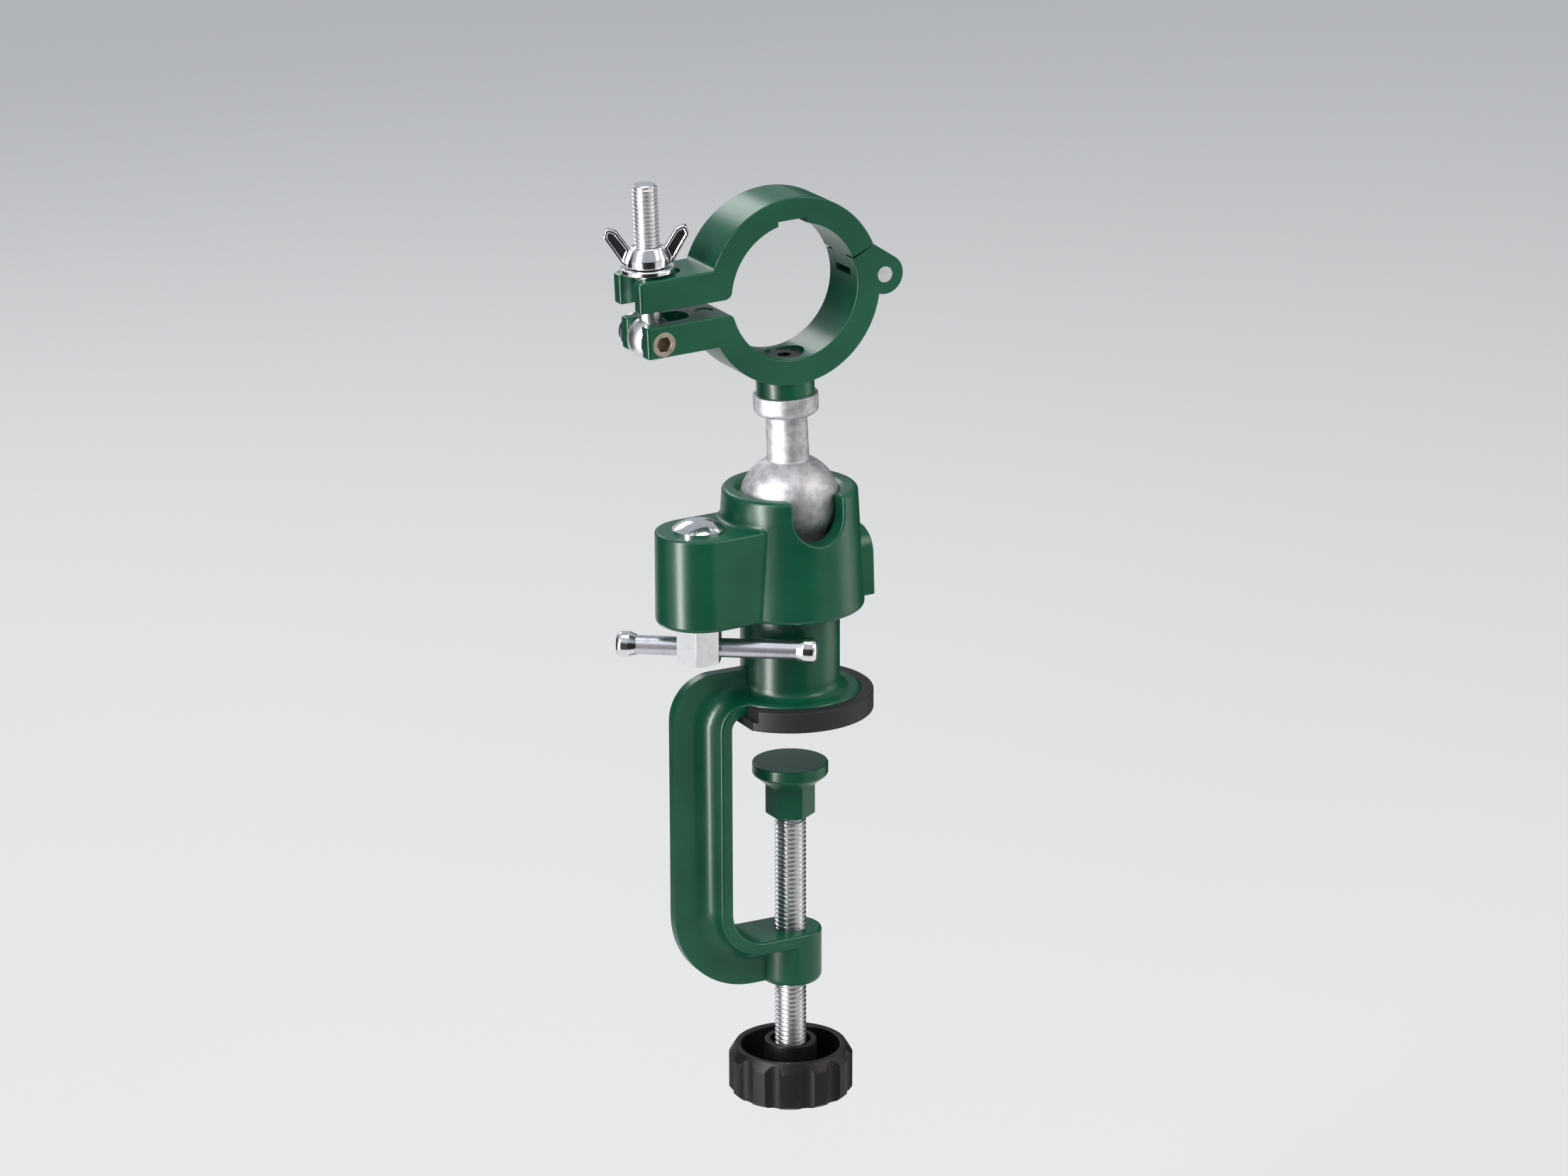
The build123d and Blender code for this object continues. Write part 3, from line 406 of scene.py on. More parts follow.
@dataclass(frozen=True)
class Plated:
    """Plated or blackened steel, bright or dull, with faint clouds and fine marks."""

    name: str
    colour: Colour
    stain: Colour
    roughness: float
    mark: float = 0.5 * MM
    depth: float = 0.004 * MM
    cloud: float = 3.5 * MM
    cloud_span: Span = (0.42, 0.75)
    stain_share: float = 0.6
    cloud_roughness: float = 0.35
    mark_roughness: float = 0.3

    def material(self) -> bpy.types.Material:
        """The plating. Clouds and marks add a share of its own roughness."""
        g = Graph(self.name)
        clouds = g.noise(self.cloud, detail=4.0, rough=0.6)
        marks = g.noise(self.mark, detail=3.0, rough=0.65)
        uneven = clouds * self.cloud_roughness + marks * self.mark_roughness
        return g.finish(
            Base_Color=g.mix(
                clouds.ease(*self.cloud_span) * self.stain_share, self.colour, self.stain
            ),
            Metallic=1.0,
            Roughness=self.roughness + uneven * self.roughness,
            Normal=g.bump(marks, self.depth),
        )


@dataclass(frozen=True)
class Moulding:
    """Moulded plastic or rubber with a fine grain and pale upright scuffs."""

    name: str
    colour: Colour
    scuff: Colour
    roughness: float
    grain: float
    depth: float
    cloud: float = 9 * MM
    scuff_size: float = 0.8 * MM
    scuff_stretch: Point = (0.5, 0.5, 2.2)
    scuff_span: Span = (0.6, 0.78)
    scuff_share: float = 0.6
    crest: float = 0.45
    crest_share: float = 0.5
    cloud_roughness: float = 0.1
    gloss: float = 0.25

    def material(self) -> bpy.types.Material:
        """The moulding."""
        g = Graph(self.name)
        grain = g.noise(self.grain, detail=3.0, rough=0.6)
        clouds = g.noise(self.cloud, detail=4.0, rough=0.6)
        scuffs = g.noise(self.scuff_size, detail=4.0, stretch=self.scuff_stretch)
        scuffed = scuffs.ease(*self.scuff_span) * clouds * self.scuff_share
        crests = (grain - self.crest).most(0.0) * self.crest_share
        return g.finish(
            Base_Color=g.mix(scuffed + crests, self.colour, self.scuff),
            Roughness=self.roughness + clouds * self.cloud_roughness,
            Specular_IOR_Level=self.gloss,
            Normal=g.bump(grain, self.depth),
        )


Finish = PowderCoat | RawCasting | Plated | Moulding

PAINT = PowderCoat()
CASTING = RawCasting()
BRIGHT = Plated("bright_zinc_plate", (0.82, 0.82, 0.84), (0.62, 0.62, 0.65), 0.12)
SATIN = Plated("satin_zinc_plate", (0.6, 0.6, 0.66), (0.4, 0.4, 0.46), 0.22,
               mark=0.25 * MM, depth=0.01 * MM)
THREAD = Plated("rolled_thread_zinc", (0.74, 0.74, 0.75), (0.5, 0.5, 0.52), 0.22, mark=0.3 * MM)
BRASSY = Plated("worn_yellow_zinc", (0.5, 0.44, 0.36), (0.2, 0.16, 0.11), 0.34,
                mark=0.4 * MM, depth=0.02 * MM)
BLACKED = Plated("blackened_steel", (0.05, 0.05, 0.055), (0.1, 0.1, 0.1), 0.35)
KNOB = Moulding("knob_black", (0.006, 0.006, 0.0075), (0.04, 0.04, 0.048), 0.4,
                grain=0.35 * MM, depth=0.03 * MM)
RUBBER = Moulding("pad_black", (0.02, 0.02, 0.021), (0.09, 0.085, 0.085), 0.46,
                  grain=0.28 * MM, depth=0.03 * MM)
SEAT = Moulding("seat_grey", (0.5, 0.5, 0.48), (0.6, 0.6, 0.58), 0.5,
                grain=0.5 * MM, depth=0.01 * MM)

made_materials: dict[str, bpy.types.Material] = {}


def material_of(finish: Finish) -> bpy.types.Material:
    """The material of a finish, made once.

    Args:
        finish: the finish.

    Returns:
        Its material.
    """
    if finish.name not in made_materials:
        made_materials[finish.name] = finish.material()
    return made_materials[finish.name]


# ---------------------------------------------------------------------------- meshes
def unit(vector: Sequence[float]) -> np.ndarray:
    """A vector of length 1."""
    return np.asarray(vector, float) / np.linalg.norm(vector)


@dataclass(frozen=True)
class Axes:
    """A right-handed frame, in metres: an origin, a Z axis, and X as near the model's as it can."""

    origin: Point
    z: Point

    def to_world(self, points: np.ndarray) -> np.ndarray:
        """Carries points from this frame to the model's.

        Args:
            points: an array whose last axis holds x, y and z.

        Returns:
            The points in the model's frame.
        """
        z = unit(self.z)
        y = unit(np.cross(z, (1.0, 0.0, 0.0)))
        return np.asarray(self.origin) + points @ np.array([np.cross(y, z), y, z])


def mesh_of(name: str, points: np.ndarray, faces: Sequence[np.ndarray]) -> bpy.types.Mesh:
    """A mesh from points and several arrays of faces.

    Args:
        name: the mesh's name.
        points: an array of x, y and z.
        faces: arrays of corner numbers, one row per face.

    Returns:
        The mesh.
    """
    mesh = bpy.data.meshes.new(name)
    mesh.from_pydata(points.reshape(-1, 3), [], [row for part in faces for row in part.tolist()])
    mesh.validate()
    return mesh


def sheet_faces(rows: int, columns: int, shift: int = 0) -> np.ndarray:
    """The quads of a grid that closes on itself round its columns.

    Args:
        rows: points along the grid.
        columns: points round it.
        shift: how many rows the grid climbs where it closes, as a screw does.

    Returns:
        Corner numbers, one row per quad.
    """
    row, column = np.meshgrid(np.arange(rows - 1), np.arange(columns), indexing="ij")
    beyond = (column + 1) // columns * shift
    right = (column + 1) % columns
    low = np.minimum(row + beyond, rows - 1) * columns + right
    high = np.minimum(row + 1 + beyond, rows - 1) * columns + right
    quads = np.stack([row * columns + column, low, high, (row + 1) * columns + column], -1)
    return quads.reshape(-1, 4)


def cap_faces(ring: np.ndarray, centre: int, upward: bool) -> np.ndarray:
    """A fan of triangles from a ring to a centre point.

    Args:
        ring: the ring's corner numbers in order.
        centre: the centre's number.
        upward: whether the fan faces along the ring's own axis.

    Returns:
        Corner numbers, one row per triangle.
    """
    after = np.roll(ring, -1)
    pair = (ring, after) if upward else (after, ring)
    return np.stack([pair[0], pair[1], np.full(len(ring), centre)], -1)


def turned(name: str, profile: Sequence[tuple[float, float]], axes: Axes,
           sides: int = 96) -> bpy.types.Mesh:
    """A closed turned piece.

    A point is (radius cos turn, radius sin turn, height): the profile gives radius and height,
    and turn goes once round. A fan closes each end.

    Args:
        name: the mesh's name.
        profile: (radius, height) from the low end to the high end, in metres.
        axes: the piece's frame.
        sides: points round the axis.

    Returns:
        The mesh.
    """
    radius, height = np.array(profile, float).T[:, :, None]
    turn = np.linspace(0, FULL_TURN, sides, endpoint=False)[None]
    wall = np.stack(np.broadcast_arrays(radius * np.cos(turn), radius * np.sin(turn), height), -1)
    ends = np.array([[0, 0, height[0, 0]], [0, 0, height[-1, 0]]])
    count = wall.shape[0] * sides
    ring = np.arange(sides)
    faces = [
        sheet_faces(wall.shape[0], sides),
        cap_faces(ring, count, False),
        cap_faces(count - sides + ring, count + 1, True),
    ]
    points = axes.to_world(np.vstack([wall.reshape(-1, 3), ends]))
    return cleaned(mesh_of(name, points, faces))


def cleaned(mesh: bpy.types.Mesh, flat: bool = False) -> bpy.types.Mesh:
    """Merges points that coincide and drops collapsed faces.

    Args:
        mesh: the mesh.
        flat: whether triangles that lie in one plane become one face.

    Returns:
        The same mesh.
    """
    work = bmesh.new()
    work.from_mesh(mesh)
    bmesh.ops.remove_doubles(work, verts=work.verts, dist=MERGE_DISTANCE)
    bmesh.ops.dissolve_degenerate(work, dist=MERGE_DISTANCE / 2, edges=work.edges)
    if flat:
        bmesh.ops.dissolve_limit(work, angle_limit=FLAT_ANGLE, verts=work.verts, edges=work.edges)
    work.to_mesh(mesh)
    work.free()
    return mesh


@dataclass(frozen=True)
class Thread:
    """A rod with a rolled metric thread, chamfered at both ends.

    depth and core are shares of the pitch: the groove's depth and the depth where the chamfers
    end. spare_turns are the turns that start below the rod and fold into its end.
    """

    diameter: float
    pitch: float
    low: float
    high: float
    chamfer: float
    sides: int = 72
    depth: float = 0.6134
    core: float = 0.72
    spare_turns: int = 2

    # one pitch of the rolled profile: place along the pitch, and depth as a share of full depth
    PROFILE = ((0.0, 0.0), (0.06, 0.04), (0.13, 0.2), (0.25, 0.56), (0.38, 0.94), (0.5, 1.0),
               (0.62, 0.94), (0.75, 0.56), (0.87, 0.2), (0.94, 0.04))

    def mesh(self, name: str, axes: Axes) -> bpy.types.Mesh:
        """The rod as one sheet that climbs a pitch each turn.

        A point is (radius cos turn, radius sin turn, height), where height is the place along
        the rod plus pitch times turn over a full turn. The radius depends only on the place in
        the pitch, and a cone at each end limits it. Heights stop at the rod's ends, so the rows
        past an end fall together into one ring there.

        Args:
            name: the mesh's name.
            axes: the rod's frame.

        Returns:
            The mesh.
        """
        place, groove = np.array(self.PROFILE).T
        steps = len(place)
        turns = math.ceil((self.high - self.low) / self.pitch) + self.spare_turns + 1
        along = (np.arange(turns)[:, None] + place).ravel() * self.pitch
        turn = np.linspace(0, FULL_TURN, self.sides, endpoint=False)
        start = self.low - self.spare_turns * self.pitch
        height = start + along[:, None] + self.pitch * turn / FULL_TURN
        height = np.clip(height, self.low, self.high)
        crest = self.diameter / 2
        core = crest - self.core * self.pitch
        radius = crest - self.depth * self.pitch * np.tile(groove, turns)[:, None]
        to_end = np.minimum(height - self.low, self.high - height)
        limit = core + to_end * (crest - core) / self.chamfer
        radius = np.minimum(radius, np.maximum(limit, core))
        points = np.stack([radius * np.cos(turn), radius * np.sin(turn), height], -1)
        rows = len(along)
        ends = np.array([[0, 0, self.low], [0, 0, self.high]])
        ring = np.arange(self.sides)
        faces = [
            sheet_faces(rows, self.sides, steps),
            cap_faces(ring, rows * self.sides, False),
            cap_faces((rows - 1) * self.sides + ring, rows * self.sides + 1, True),
        ]
        return cleaned(
            mesh_of(name, axes.to_world(np.vstack([points.reshape(-1, 3), ends])), faces)
        )


def merged_copy(node: str, name: str) -> bpy.types.Mesh:
    """A copy of a CAD node's mesh with its points merged.

    Args:
        node: the CAD node.
        name: the copy's name.

    Returns:
        The copy.
    """
    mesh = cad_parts[node].data.copy()
    mesh.name = name
    mesh.materials.clear()
    custom = mesh.attributes.get("custom_normal")
    if custom is not None:
        mesh.attributes.remove(custom)
    return cleaned(mesh)


def joined(name: str, meshes: Iterable[bpy.types.Mesh]) -> bpy.types.Mesh:
    """Several closed shells in one mesh.

    Args:
        name: the new mesh's name.
        meshes: the shells.

    Returns:
        The new mesh.
    """
    work = bmesh.new()
    for mesh in meshes:
        work.from_mesh(mesh)
    whole = bpy.data.meshes.new(name)
    work.to_mesh(whole)
    work.free()
    return whole


def show(name: str, mesh: bpy.types.Mesh, body: Body, slot: Slot,
         finish: Finish, *nodes: str,
         edge: float = 0.0, sharp: float = SHARP_ANGLE,
         weighted: bool = True) -> bpy.types.Object:
    """Puts a finished mesh in the scene as a piece.

    Args:
        name: the piece's name.
        mesh: its mesh, in place.
        body: the body that it rides on.
        slot: the material slot that it stands for; not used.
        finish: its finish.
        nodes: the CAD nodes that it replaces.
        edge: width of the small rounding on its sharp edges, or 0.
        sharp: the angle over which an edge is shaded as a sharp one.
        weighted: whether flat faces keep their own shading.

    Returns:
        The piece.
    """
    if edge:
        cleaned(mesh, flat=True)
    mesh.name = name
    mesh.shade_smooth()
    mesh.set_sharp_from_angle(angle=sharp)
    piece = bpy.data.objects.new(name, mesh)
    bpy.context.scene.collection.objects.link(piece)
    mesh.materials.append(material_of(finish))
    if edge:
        bevel = piece.modifiers.new("edges", "BEVEL")
        bevel.width = edge
        bevel.segments = BEVEL_SEGMENTS
        bevel.limit_method = "ANGLE"
        bevel.angle_limit = max(sharp, BEVEL_ANGLE)
        bevel.miter_outer = "MITER_ARC"
        weld = piece.modifiers.new("merged", "WELD")
        weld.merge_threshold = MERGE_DISTANCE
    if weighted:
        normals = piece.modifiers.new("flat_faces", "WEIGHTED_NORMAL")
        normals.keep_sharp = True
        normals.mode = "FACE_AREA"
    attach(piece, body.value)
    if nodes:
        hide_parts(*nodes)
    report.info("%s: %d faces on %s", name, len(mesh.polygons), body.value)
    return piece


def dress(node: str, finish: Finish) -> None:
    """Gives a CAD node that stays in place its finish.

    Args:
        node: the CAD node.
        finish: its finish.
    """
    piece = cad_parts[node]
    for place in piece.material_slots:
        place.material = material_of(finish)
    report.info("%s: dressed in %s", node, finish.name)


# ---------------------------------------------------------------------------- sub-assemblies
@dataclass
class FrameClamp:
    """The C casting and the pad under its flange."""

    def build(self) -> None:
        """Builds both pieces."""
        show("frame_casting", merged_copy("clamp_frame", "frame"), Body.CLAMP, Slot.GREEN,
             PAINT, "clamp_frame")
        show("flange_pad", merged_copy("base_pad", "pad"), Body.CLAMP, Slot.PAD, RUBBER,
             "base_pad")


@dataclass
class PressureScrew:
    """The threaded spindle with its foot and its knob."""

    diameter: float = 10 * MM
    pitch: float = 1.5 * MM
    low: float = -125.8 * MM
    shoulder: float = -35.9 * MM
    chamfer: float = 1.0 * MM
    tip_radius: float = 3.5 * MM
    tip_top: float = -24.7 * MM
    tip_chamfer: float = 0.5 * MM
    knob_edge: float = 0.2 * MM

    def spindle(self) -> bpy.types.Mesh:
        """The threaded rod and its plain tip, which turns inside the foot."""
        axes = Axes((0, 0, 0), (0, 0, 1))
        rod = Thread(self.diameter, self.pitch, self.low, self.shoulder, self.chamfer)
        tip = turned(
            "tip",
            [(self.tip_radius, self.shoulder - self.chamfer),
             (self.tip_radius, self.tip_top - self.tip_chamfer),
             (self.tip_radius - self.tip_chamfer, self.tip_top)],
            axes,
        )
        return joined("spindle_thread", [rod.mesh("rod", axes), tip])

    def build(self) -> None:
        """Builds the four pieces."""
        show("pressure_foot_cast", merged_copy("pressure_foot", "foot"), Body.FOOT, Slot.GREEN,
             PAINT, "pressure_foot")
        show("spindle_thread", self.spindle(), Body.SPINDLE, Slot.ZINC, THREAD, "spindle",
             weighted=False)
        show("knob_moulding", merged_copy("spindle_knob", "knob"), Body.SPINDLE, Slot.KNOB,
             KNOB, "spindle_knob", edge=self.knob_edge)
        dress("knob_insert", THREAD)


@dataclass
class SwivelHead:
    """The head casting with its lock bolt and what is inside it."""

    def build(self) -> None:
        """Builds the casting and the bolt, and dresses the hidden pieces."""
        show("head_casting", merged_copy("swivel_head", "head"), Body.HEAD, Slot.GREEN, PAINT,
             "swivel_head")
        show("lock_bolt_dome", merged_copy("lock_bolt", "bolt"), Body.HEAD, Slot.BRIGHT, BRIGHT,
             "lock_bolt")
        show("retaining_grub_screw", merged_copy("retaining_screw", "grub"), Body.HEAD,
             Slot.BLACK, BLACKED, "retaining_screw")
        dress("upper_wedge", THREAD)
        dress("lower_wedge", THREAD)
        dress("clamp_shoe", THREAD)
        dress("ball_seat", SEAT)


@dataclass
class Lock:
    """The drilled nut, its sliding bar and the bar's two caps."""

    nut_edge: float = 0.2 * MM

    def build(self) -> None:
        """Builds the three pieces."""
        show("drilled_nut", merged_copy("lock_nut", "nut"), Body.LOCK_NUT, Slot.BRIGHT, BRIGHT,
             "lock_nut", edge=self.nut_edge)
        show("sliding_bar", merged_copy("tommy_bar", "bar"), Body.TOMMY_BAR, Slot.BRIGHT, SATIN,
             "tommy_bar")
        show("bar_caps", merged_copy("bar_end_caps", "caps"), Body.TOMMY_BAR, Slot.BRIGHT, BRIGHT,
             "bar_end_caps")


@dataclass
class BallStud:
    """The raw cast ball stud and the screw that holds the ring on it."""

    def build(self) -> None:
        """Builds the stud and dresses the screw."""
        show("ball_stud_cast", merged_copy("ball_stud", "stud"), Body.BALL_STUD, Slot.CAST,
             CASTING, "ball_stud")
        show("ring_screw", merged_copy("stud_screw", "screw"), Body.BALL_STUD, Slot.BLACK,
             BLACKED, "stud_screw")


@dataclass
class RingClamp:
    """The two jaws and the pins of the lower one."""

    edge: float = 0.25 * MM
    sleeve_edge: float = 0.2 * MM
    sharp: float = math.radians(70)

    def build(self) -> None:
        """Builds the jaws and their pins."""
        show("lower_jaw_cast", merged_copy("lower_jaw", "lower"), Body.LOWER_JAW, Slot.GREEN,
             PAINT, "lower_jaw", edge=self.edge, sharp=self.sharp)
        show("upper_jaw_cast", merged_copy("upper_jaw", "upper"), Body.UPPER_JAW, Slot.GREEN,
             PAINT, "upper_jaw", edge=self.edge, sharp=self.sharp)
        show("hinge_dowel", merged_copy("hinge_pin", "dowel"), Body.LOWER_JAW, Slot.ZINC, THREAD,
             "hinge_pin")
        show("pivot_socket_sleeve", merged_copy("pivot_sleeve", "sleeve"), Body.LOWER_JAW,
             Slot.ZINC, BRASSY, "pivot_sleeve", edge=self.sleeve_edge)
        show("pivot_dome_screw", merged_copy("pivot_screw", "pivot"), Body.LOWER_JAW, Slot.BRIGHT,
             BRIGHT, "pivot_screw")


@dataclass
class SwingBolt:
    """The eye bolt that closes the ring, with its washer and wing nut."""

    origin: Point = (-47.178 * MM, 0.0, 125.432 * MM)
    up: Point = (-0.03838781, 0.0, 0.99926292)
    diameter: float = 8 * MM
    pitch: float = 1.25 * MM
    low: float = 13.2 * MM
    high: float = 48 * MM
    chamfer: float = 0.8 * MM
    neck_overlap: float = 0.3 * MM
    washer_edge: float = 0.3 * MM
    wing_side: float = 30 * MM * MM
    wing_lean: float = 0.1
    short_edge: float = 0.15 * MM
    rim_drop: float = 0.3 * MM
    rim: tuple[tuple[float, float], ...] = (
        (0.1, 0.17), (0.15, 0.1), (0.15, 0.03), (0.35, 0.0), (0.06, -0.03), (0.06, -0.08),
        (0.06, -0.1), (0.06, -0.1), (0.06, -0.08), (0.06, -0.03),
    )

    def eye_bolt(self) -> bpy.types.Mesh:
        """The CAD eye and neck below the thread, and the thread as a rod above them."""
        axes = Axes(self.origin, self.up)
        eye = merged_copy("swing_bolt", "eye")
        work = bmesh.new()
        work.from_mesh(eye)
        cut = Vector(self.origin) + Vector(self.up) * (self.low + self.neck_overlap)
        found = bmesh.ops.bisect_plane(
            work, geom=work.verts[:] + work.edges[:] + work.faces[:], plane_co=cut,
            plane_no=Vector(self.up), clear_outer=True
        )
        rim = [e for e in found["geom_cut"] if isinstance(e, bmesh.types.BMEdge)]
        bmesh.ops.holes_fill(work, edges=rim, sides=0)
        work.to_mesh(eye)
        work.free()
        cleaned(eye)
        rod = Thread(self.diameter, self.pitch, self.low, self.high, self.chamfer)
        return joined("eye_bolt", [eye, rod.mesh("bolt_thread", axes)])

    def flat_sides(self, work: bmesh.types.BMesh) -> list[bmesh.types.BMFace]:
        """The large upright faces of a nut's wings."""
        return [face for face in work.faces if face.calc_area() > self.wing_side
                and abs(face.normal.dot(Vector(self.up))) < self.wing_lean]

    def wings(self) -> bpy.types.Mesh:
        """The wing nut with a raised rim round each side of both wings.

        Each flat side is made one face, and the outline's shortest edges are merged. Its outline
        is lowered, and the rim's profile, as pairs of a width and a rise in mm, is carried inward
        from there: up round the edge, level, and down.
        """
        mesh = merged_copy("wing_nut", "wings")
        work = bmesh.new()
        work.from_mesh(mesh)
        bmesh.ops.dissolve_limit(work, angle_limit=FLAT_ANGLE, verts=work.verts, edges=work.edges)
        outline = dict.fromkeys(v for side in self.flat_sides(work) for v in side.verts)
        bmesh.ops.remove_doubles(work, verts=list(outline), dist=self.short_edge)
        sides = self.flat_sides(work)
        for side in sides:
            bmesh.ops.translate(work, vec=side.normal * -self.rim_drop, verts=side.verts)
        for width, rise in self.rim:
            bmesh.ops.inset_individual(
                work, faces=sides, thickness=width * MM, depth=rise * MM, use_even_offset=False
            )
        bmesh.ops.triangulate(work, faces=sides)
        work.to_mesh(mesh)
        work.free()
        report.info("wing sides with a rim: %d", len(sides))
        return mesh

    def build(self) -> None:
        """Builds the three pieces."""
        show("eye_bolt", self.eye_bolt(), Body.SWING_BOLT, Slot.ZINC, THREAD, "swing_bolt",
             weighted=False)
        show("flat_washer", merged_copy("washer", "washer"), Body.WASHER, Slot.BRIGHT, BRIGHT,
             "washer", edge=self.washer_edge)
        show("winged_nut", self.wings(), Body.WING_NUT, Slot.BRIGHT, BRIGHT, "wing_nut")


# ---------------------------------------------------------------------------- stage and camera
@dataclass(frozen=True)
class Camera:
    """The photograph's view: a long lens, from the front left and above. Angles in degrees."""

    azimuth: float = -27.5
    elevation: float = 17.84
    roll: float = -0.13
    target: Point = (-1.47 * MM, 1.09 * MM, 38.85 * MM)
    distance: float = 1.686
    lens: float = 124.5
    sensor: float = 36.0
    clip: Span = (0.1, 50.0)

    def build(self) -> None:
        """Places the camera on a line through the target."""
        turn, rise = math.radians(self.azimuth), math.radians(self.elevation)
        back = Vector((math.sin(turn) * math.cos(rise), -math.cos(turn) * math.cos(rise),
                       math.sin(rise)))
        data = bpy.data.cameras.new("camera")
        data.lens = self.lens
        data.sensor_width = self.sensor
        data.clip_start, data.clip_end = self.clip
        camera = bpy.data.objects.new("camera", data)
        bpy.context.scene.collection.objects.link(camera)
        aim = (-back).to_track_quat("-Z", "Y").to_matrix().to_4x4()
        camera.matrix_world = (
            Matrix.Translation(Vector(self.target) + back * self.distance)
            @ aim @ Matrix.Rotation(math.radians(self.roll), 4, "Z")
        )
        bpy.context.scene.camera = camera


@dataclass(frozen=True)
class Softbox:
    """One soft lamp that faces the object and that the camera doesn't see.

    azimuth is in degrees from the front, reach is the level distance from the upright axis, and
    level and aim are the heights of the lamp and of the point that it faces. power is in watts.
    A lamp that is there for gloss alone shows only in reflections.
    """

    name: str
    azimuth: float
    reach: float
    level: float
    width: float
    height: float
    power: float
    colour: Colour = (1.0, 1.0, 1.0)
    aim: float = 0.0
    gloss_alone: bool = False

    def build(self) -> None:
        """Adds the lamp."""
        turn = math.radians(self.azimuth)
        spot = Vector((math.sin(turn) * self.reach, -math.cos(turn) * self.reach, self.level))
        data = bpy.data.lights.new(self.name, "AREA")
        data.shape = "RECTANGLE"
        data.size, data.size_y = self.width, self.height
        data.energy = self.power
        data.color = self.colour
        lamp = bpy.data.objects.new(self.name, data)
        lamp.visible_camera = False
        lamp.visible_diffuse = not self.gloss_alone
        bpy.context.scene.collection.objects.link(lamp)
        facing = Vector((0.0, 0.0, self.aim)) - spot
        lamp.matrix_world = (
            Matrix.Translation(spot) @ facing.to_track_quat("-Z", "Y").to_matrix().to_4x4()
        )


@dataclass(frozen=True)
class DarkCard:
    """A dark curved card that only reflections see, which gives gloss and metal their contrast."""

    name: str
    azimuths: Span
    reach: float
    low: float = -0.29
    high: float = 0.3
    columns: int = 13
    dark: Colour = (0.012, 0.012, 0.014)
    grey: Colour = (0.02, 0.02, 0.02)
    cloud: float = 0.1
    cloud_share: float = 0.5

    def build(self) -> None:
        """Adds the card.

        A point is (reach sin turn, -reach cos turn, level): turn goes from one azimuth to the
        other, and level from low to high.
        """
        turn = np.radians(np.linspace(*self.azimuths, self.columns))
        level = np.array([self.low, self.high])
        turn, level = np.meshgrid(turn, level)
        points = np.stack([np.sin(turn) * self.reach, -np.cos(turn) * self.reach, level], -1)
        column = np.arange(self.columns - 1)
        corners = (column, column + 1, column + 1 + self.columns, column + self.columns)
        quads = np.stack(corners, -1)
        card = bpy.data.objects.new(self.name, mesh_of(self.name, points, [quads]))
        bpy.context.scene.collection.objects.link(card)
        g = Graph(self.name)
        clouds = g.noise(self.cloud) * self.cloud_share
        card.data.materials.append(
            g.finish(Base_Color=g.mix(clouds, self.dark, self.grey), Roughness=0.9,
                     Specular_IOR_Level=0.1)
        )
        card.visible_camera = False
        card.visible_diffuse = False
        card.visible_shadow = False
        card.visible_transmission = False


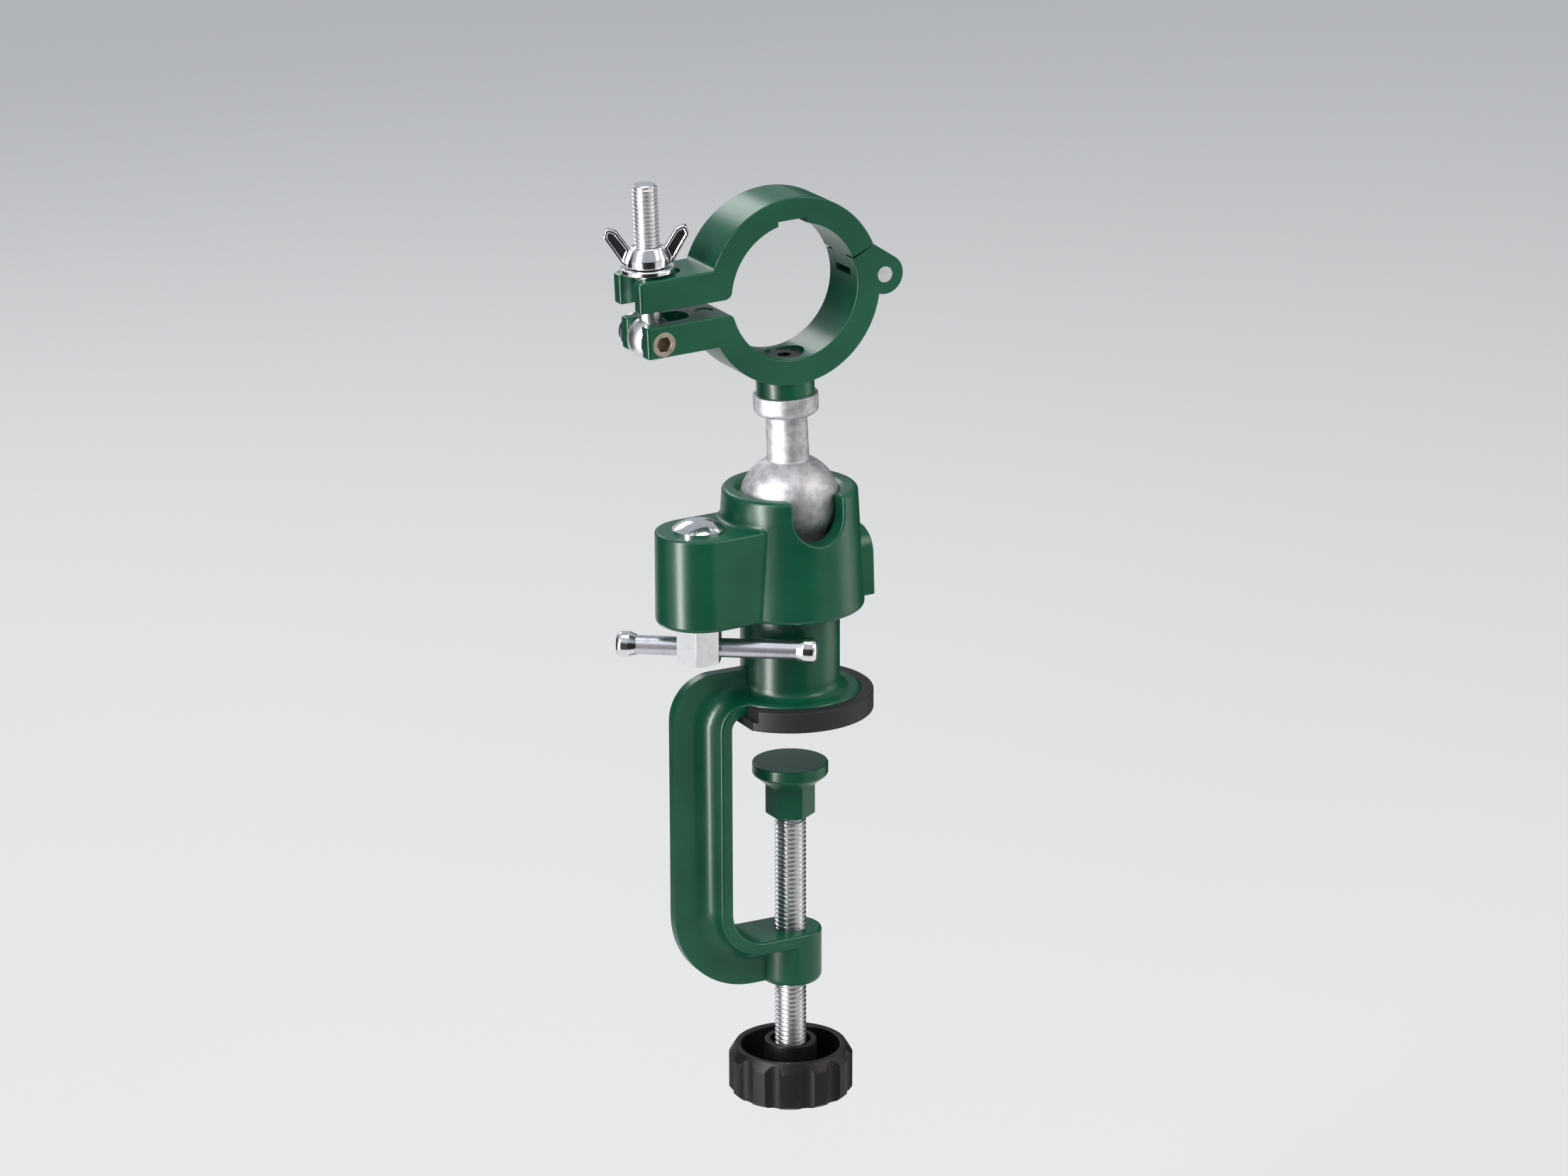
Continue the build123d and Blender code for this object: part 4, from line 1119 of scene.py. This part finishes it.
DAYLIGHT = (1.0, 0.99, 0.97)
LAMPLIGHT = (1.0, 0.93, 0.82)
LAMPS = (
    Softbox("key_strip", azimuth=-77, reach=0.75, level=0.1, width=0.15, height=0.8, power=13,
            colour=DAYLIGHT, aim=0.1, gloss_alone=True),
    Softbox("right_strip", azimuth=72, reach=0.9, level=0.1, width=0.4, height=0.8, power=1.6,
            colour=(1.0, 0.94, 0.84), aim=0.1, gloss_alone=True),
    Softbox("key_light", azimuth=-72, reach=1.8, level=1.7, width=0.9, height=0.9, power=20,
            colour=DAYLIGHT),
    Softbox("right_light", azimuth=42, reach=1.8, level=1.5, width=0.9, height=0.9, power=19,
            colour=LAMPLIGHT),
    Softbox("back_light", azimuth=178, reach=1.5, level=1.0, width=0.6, height=0.5, power=5,
            aim=0.1),
    Softbox("top_light", azimuth=20, reach=0.05, level=2.4, width=1.4, height=1.2, power=11),
)
CARDS = (
    DarkCard("front_card", (-55, 12), 0.55),
    DarkCard("right_card", (100, 150), 0.6),
    DarkCard("left_card", (200, 245), 0.6),
)


@dataclass(frozen=True)
class Stage:
    """A plain pale floor under the knob's lowest reach, soft lamps and a pale surround."""

    floor_level: float = -300 * MM
    floor_reach: float = 9.0
    floor_colour: Colour = (0.8, 0.8, 0.795)
    floor_shade: Colour = (0.6, 0.6, 0.6)
    shade_size: float = 0.25
    shade_share: float = 0.08
    surround: Colour = (0.62, 0.65, 0.70)
    surround_strength: float = 0.7

    def floor(self) -> None:
        """A flat floor."""
        r, z = self.floor_reach, self.floor_level
        corners = np.array([[-r, -r, z], [r, -r, z], [r, r, z], [-r, r, z]])
        piece = bpy.data.objects.new("floor", mesh_of("floor", corners, [np.array([[0, 1, 2, 3]])]))
        bpy.context.scene.collection.objects.link(piece)
        g = Graph("pale_floor")
        clouds = g.noise(self.shade_size, detail=2.0) * self.shade_share
        piece.data.materials.append(
            g.finish(Base_Color=g.mix(clouds, self.floor_colour, self.floor_shade),
                     Roughness=0.9, Specular_IOR_Level=0.0)
        )

    def world(self) -> None:
        """An even surround."""
        world = bpy.data.worlds.new("surround")
        bpy.context.scene.world = world
        world.use_nodes = True
        shade = world.node_tree.nodes["Background"]
        shade.inputs["Color"].default_value = (*self.surround, 1.0)
        shade.inputs["Strength"].default_value = self.surround_strength

    def build(self) -> None:
        """Builds the floor, the lamps and the surround."""
        self.floor()
        self.world()
        for item in LAMPS + CARDS:
            item.build()
        bpy.context.scene.view_settings.view_transform = "Standard"


def main() -> None:
    """Builds the stage, the camera and every sub-assembly in order."""
    Camera().build()
    Stage().build()
    for part in (FrameClamp(), PressureScrew(), SwivelHead(), Lock(), BallStud(), RingClamp(),
                 SwingBolt()):
        part.build()
        report.info("%s done", type(part).__name__)


if __name__ == "__main__":
    main()
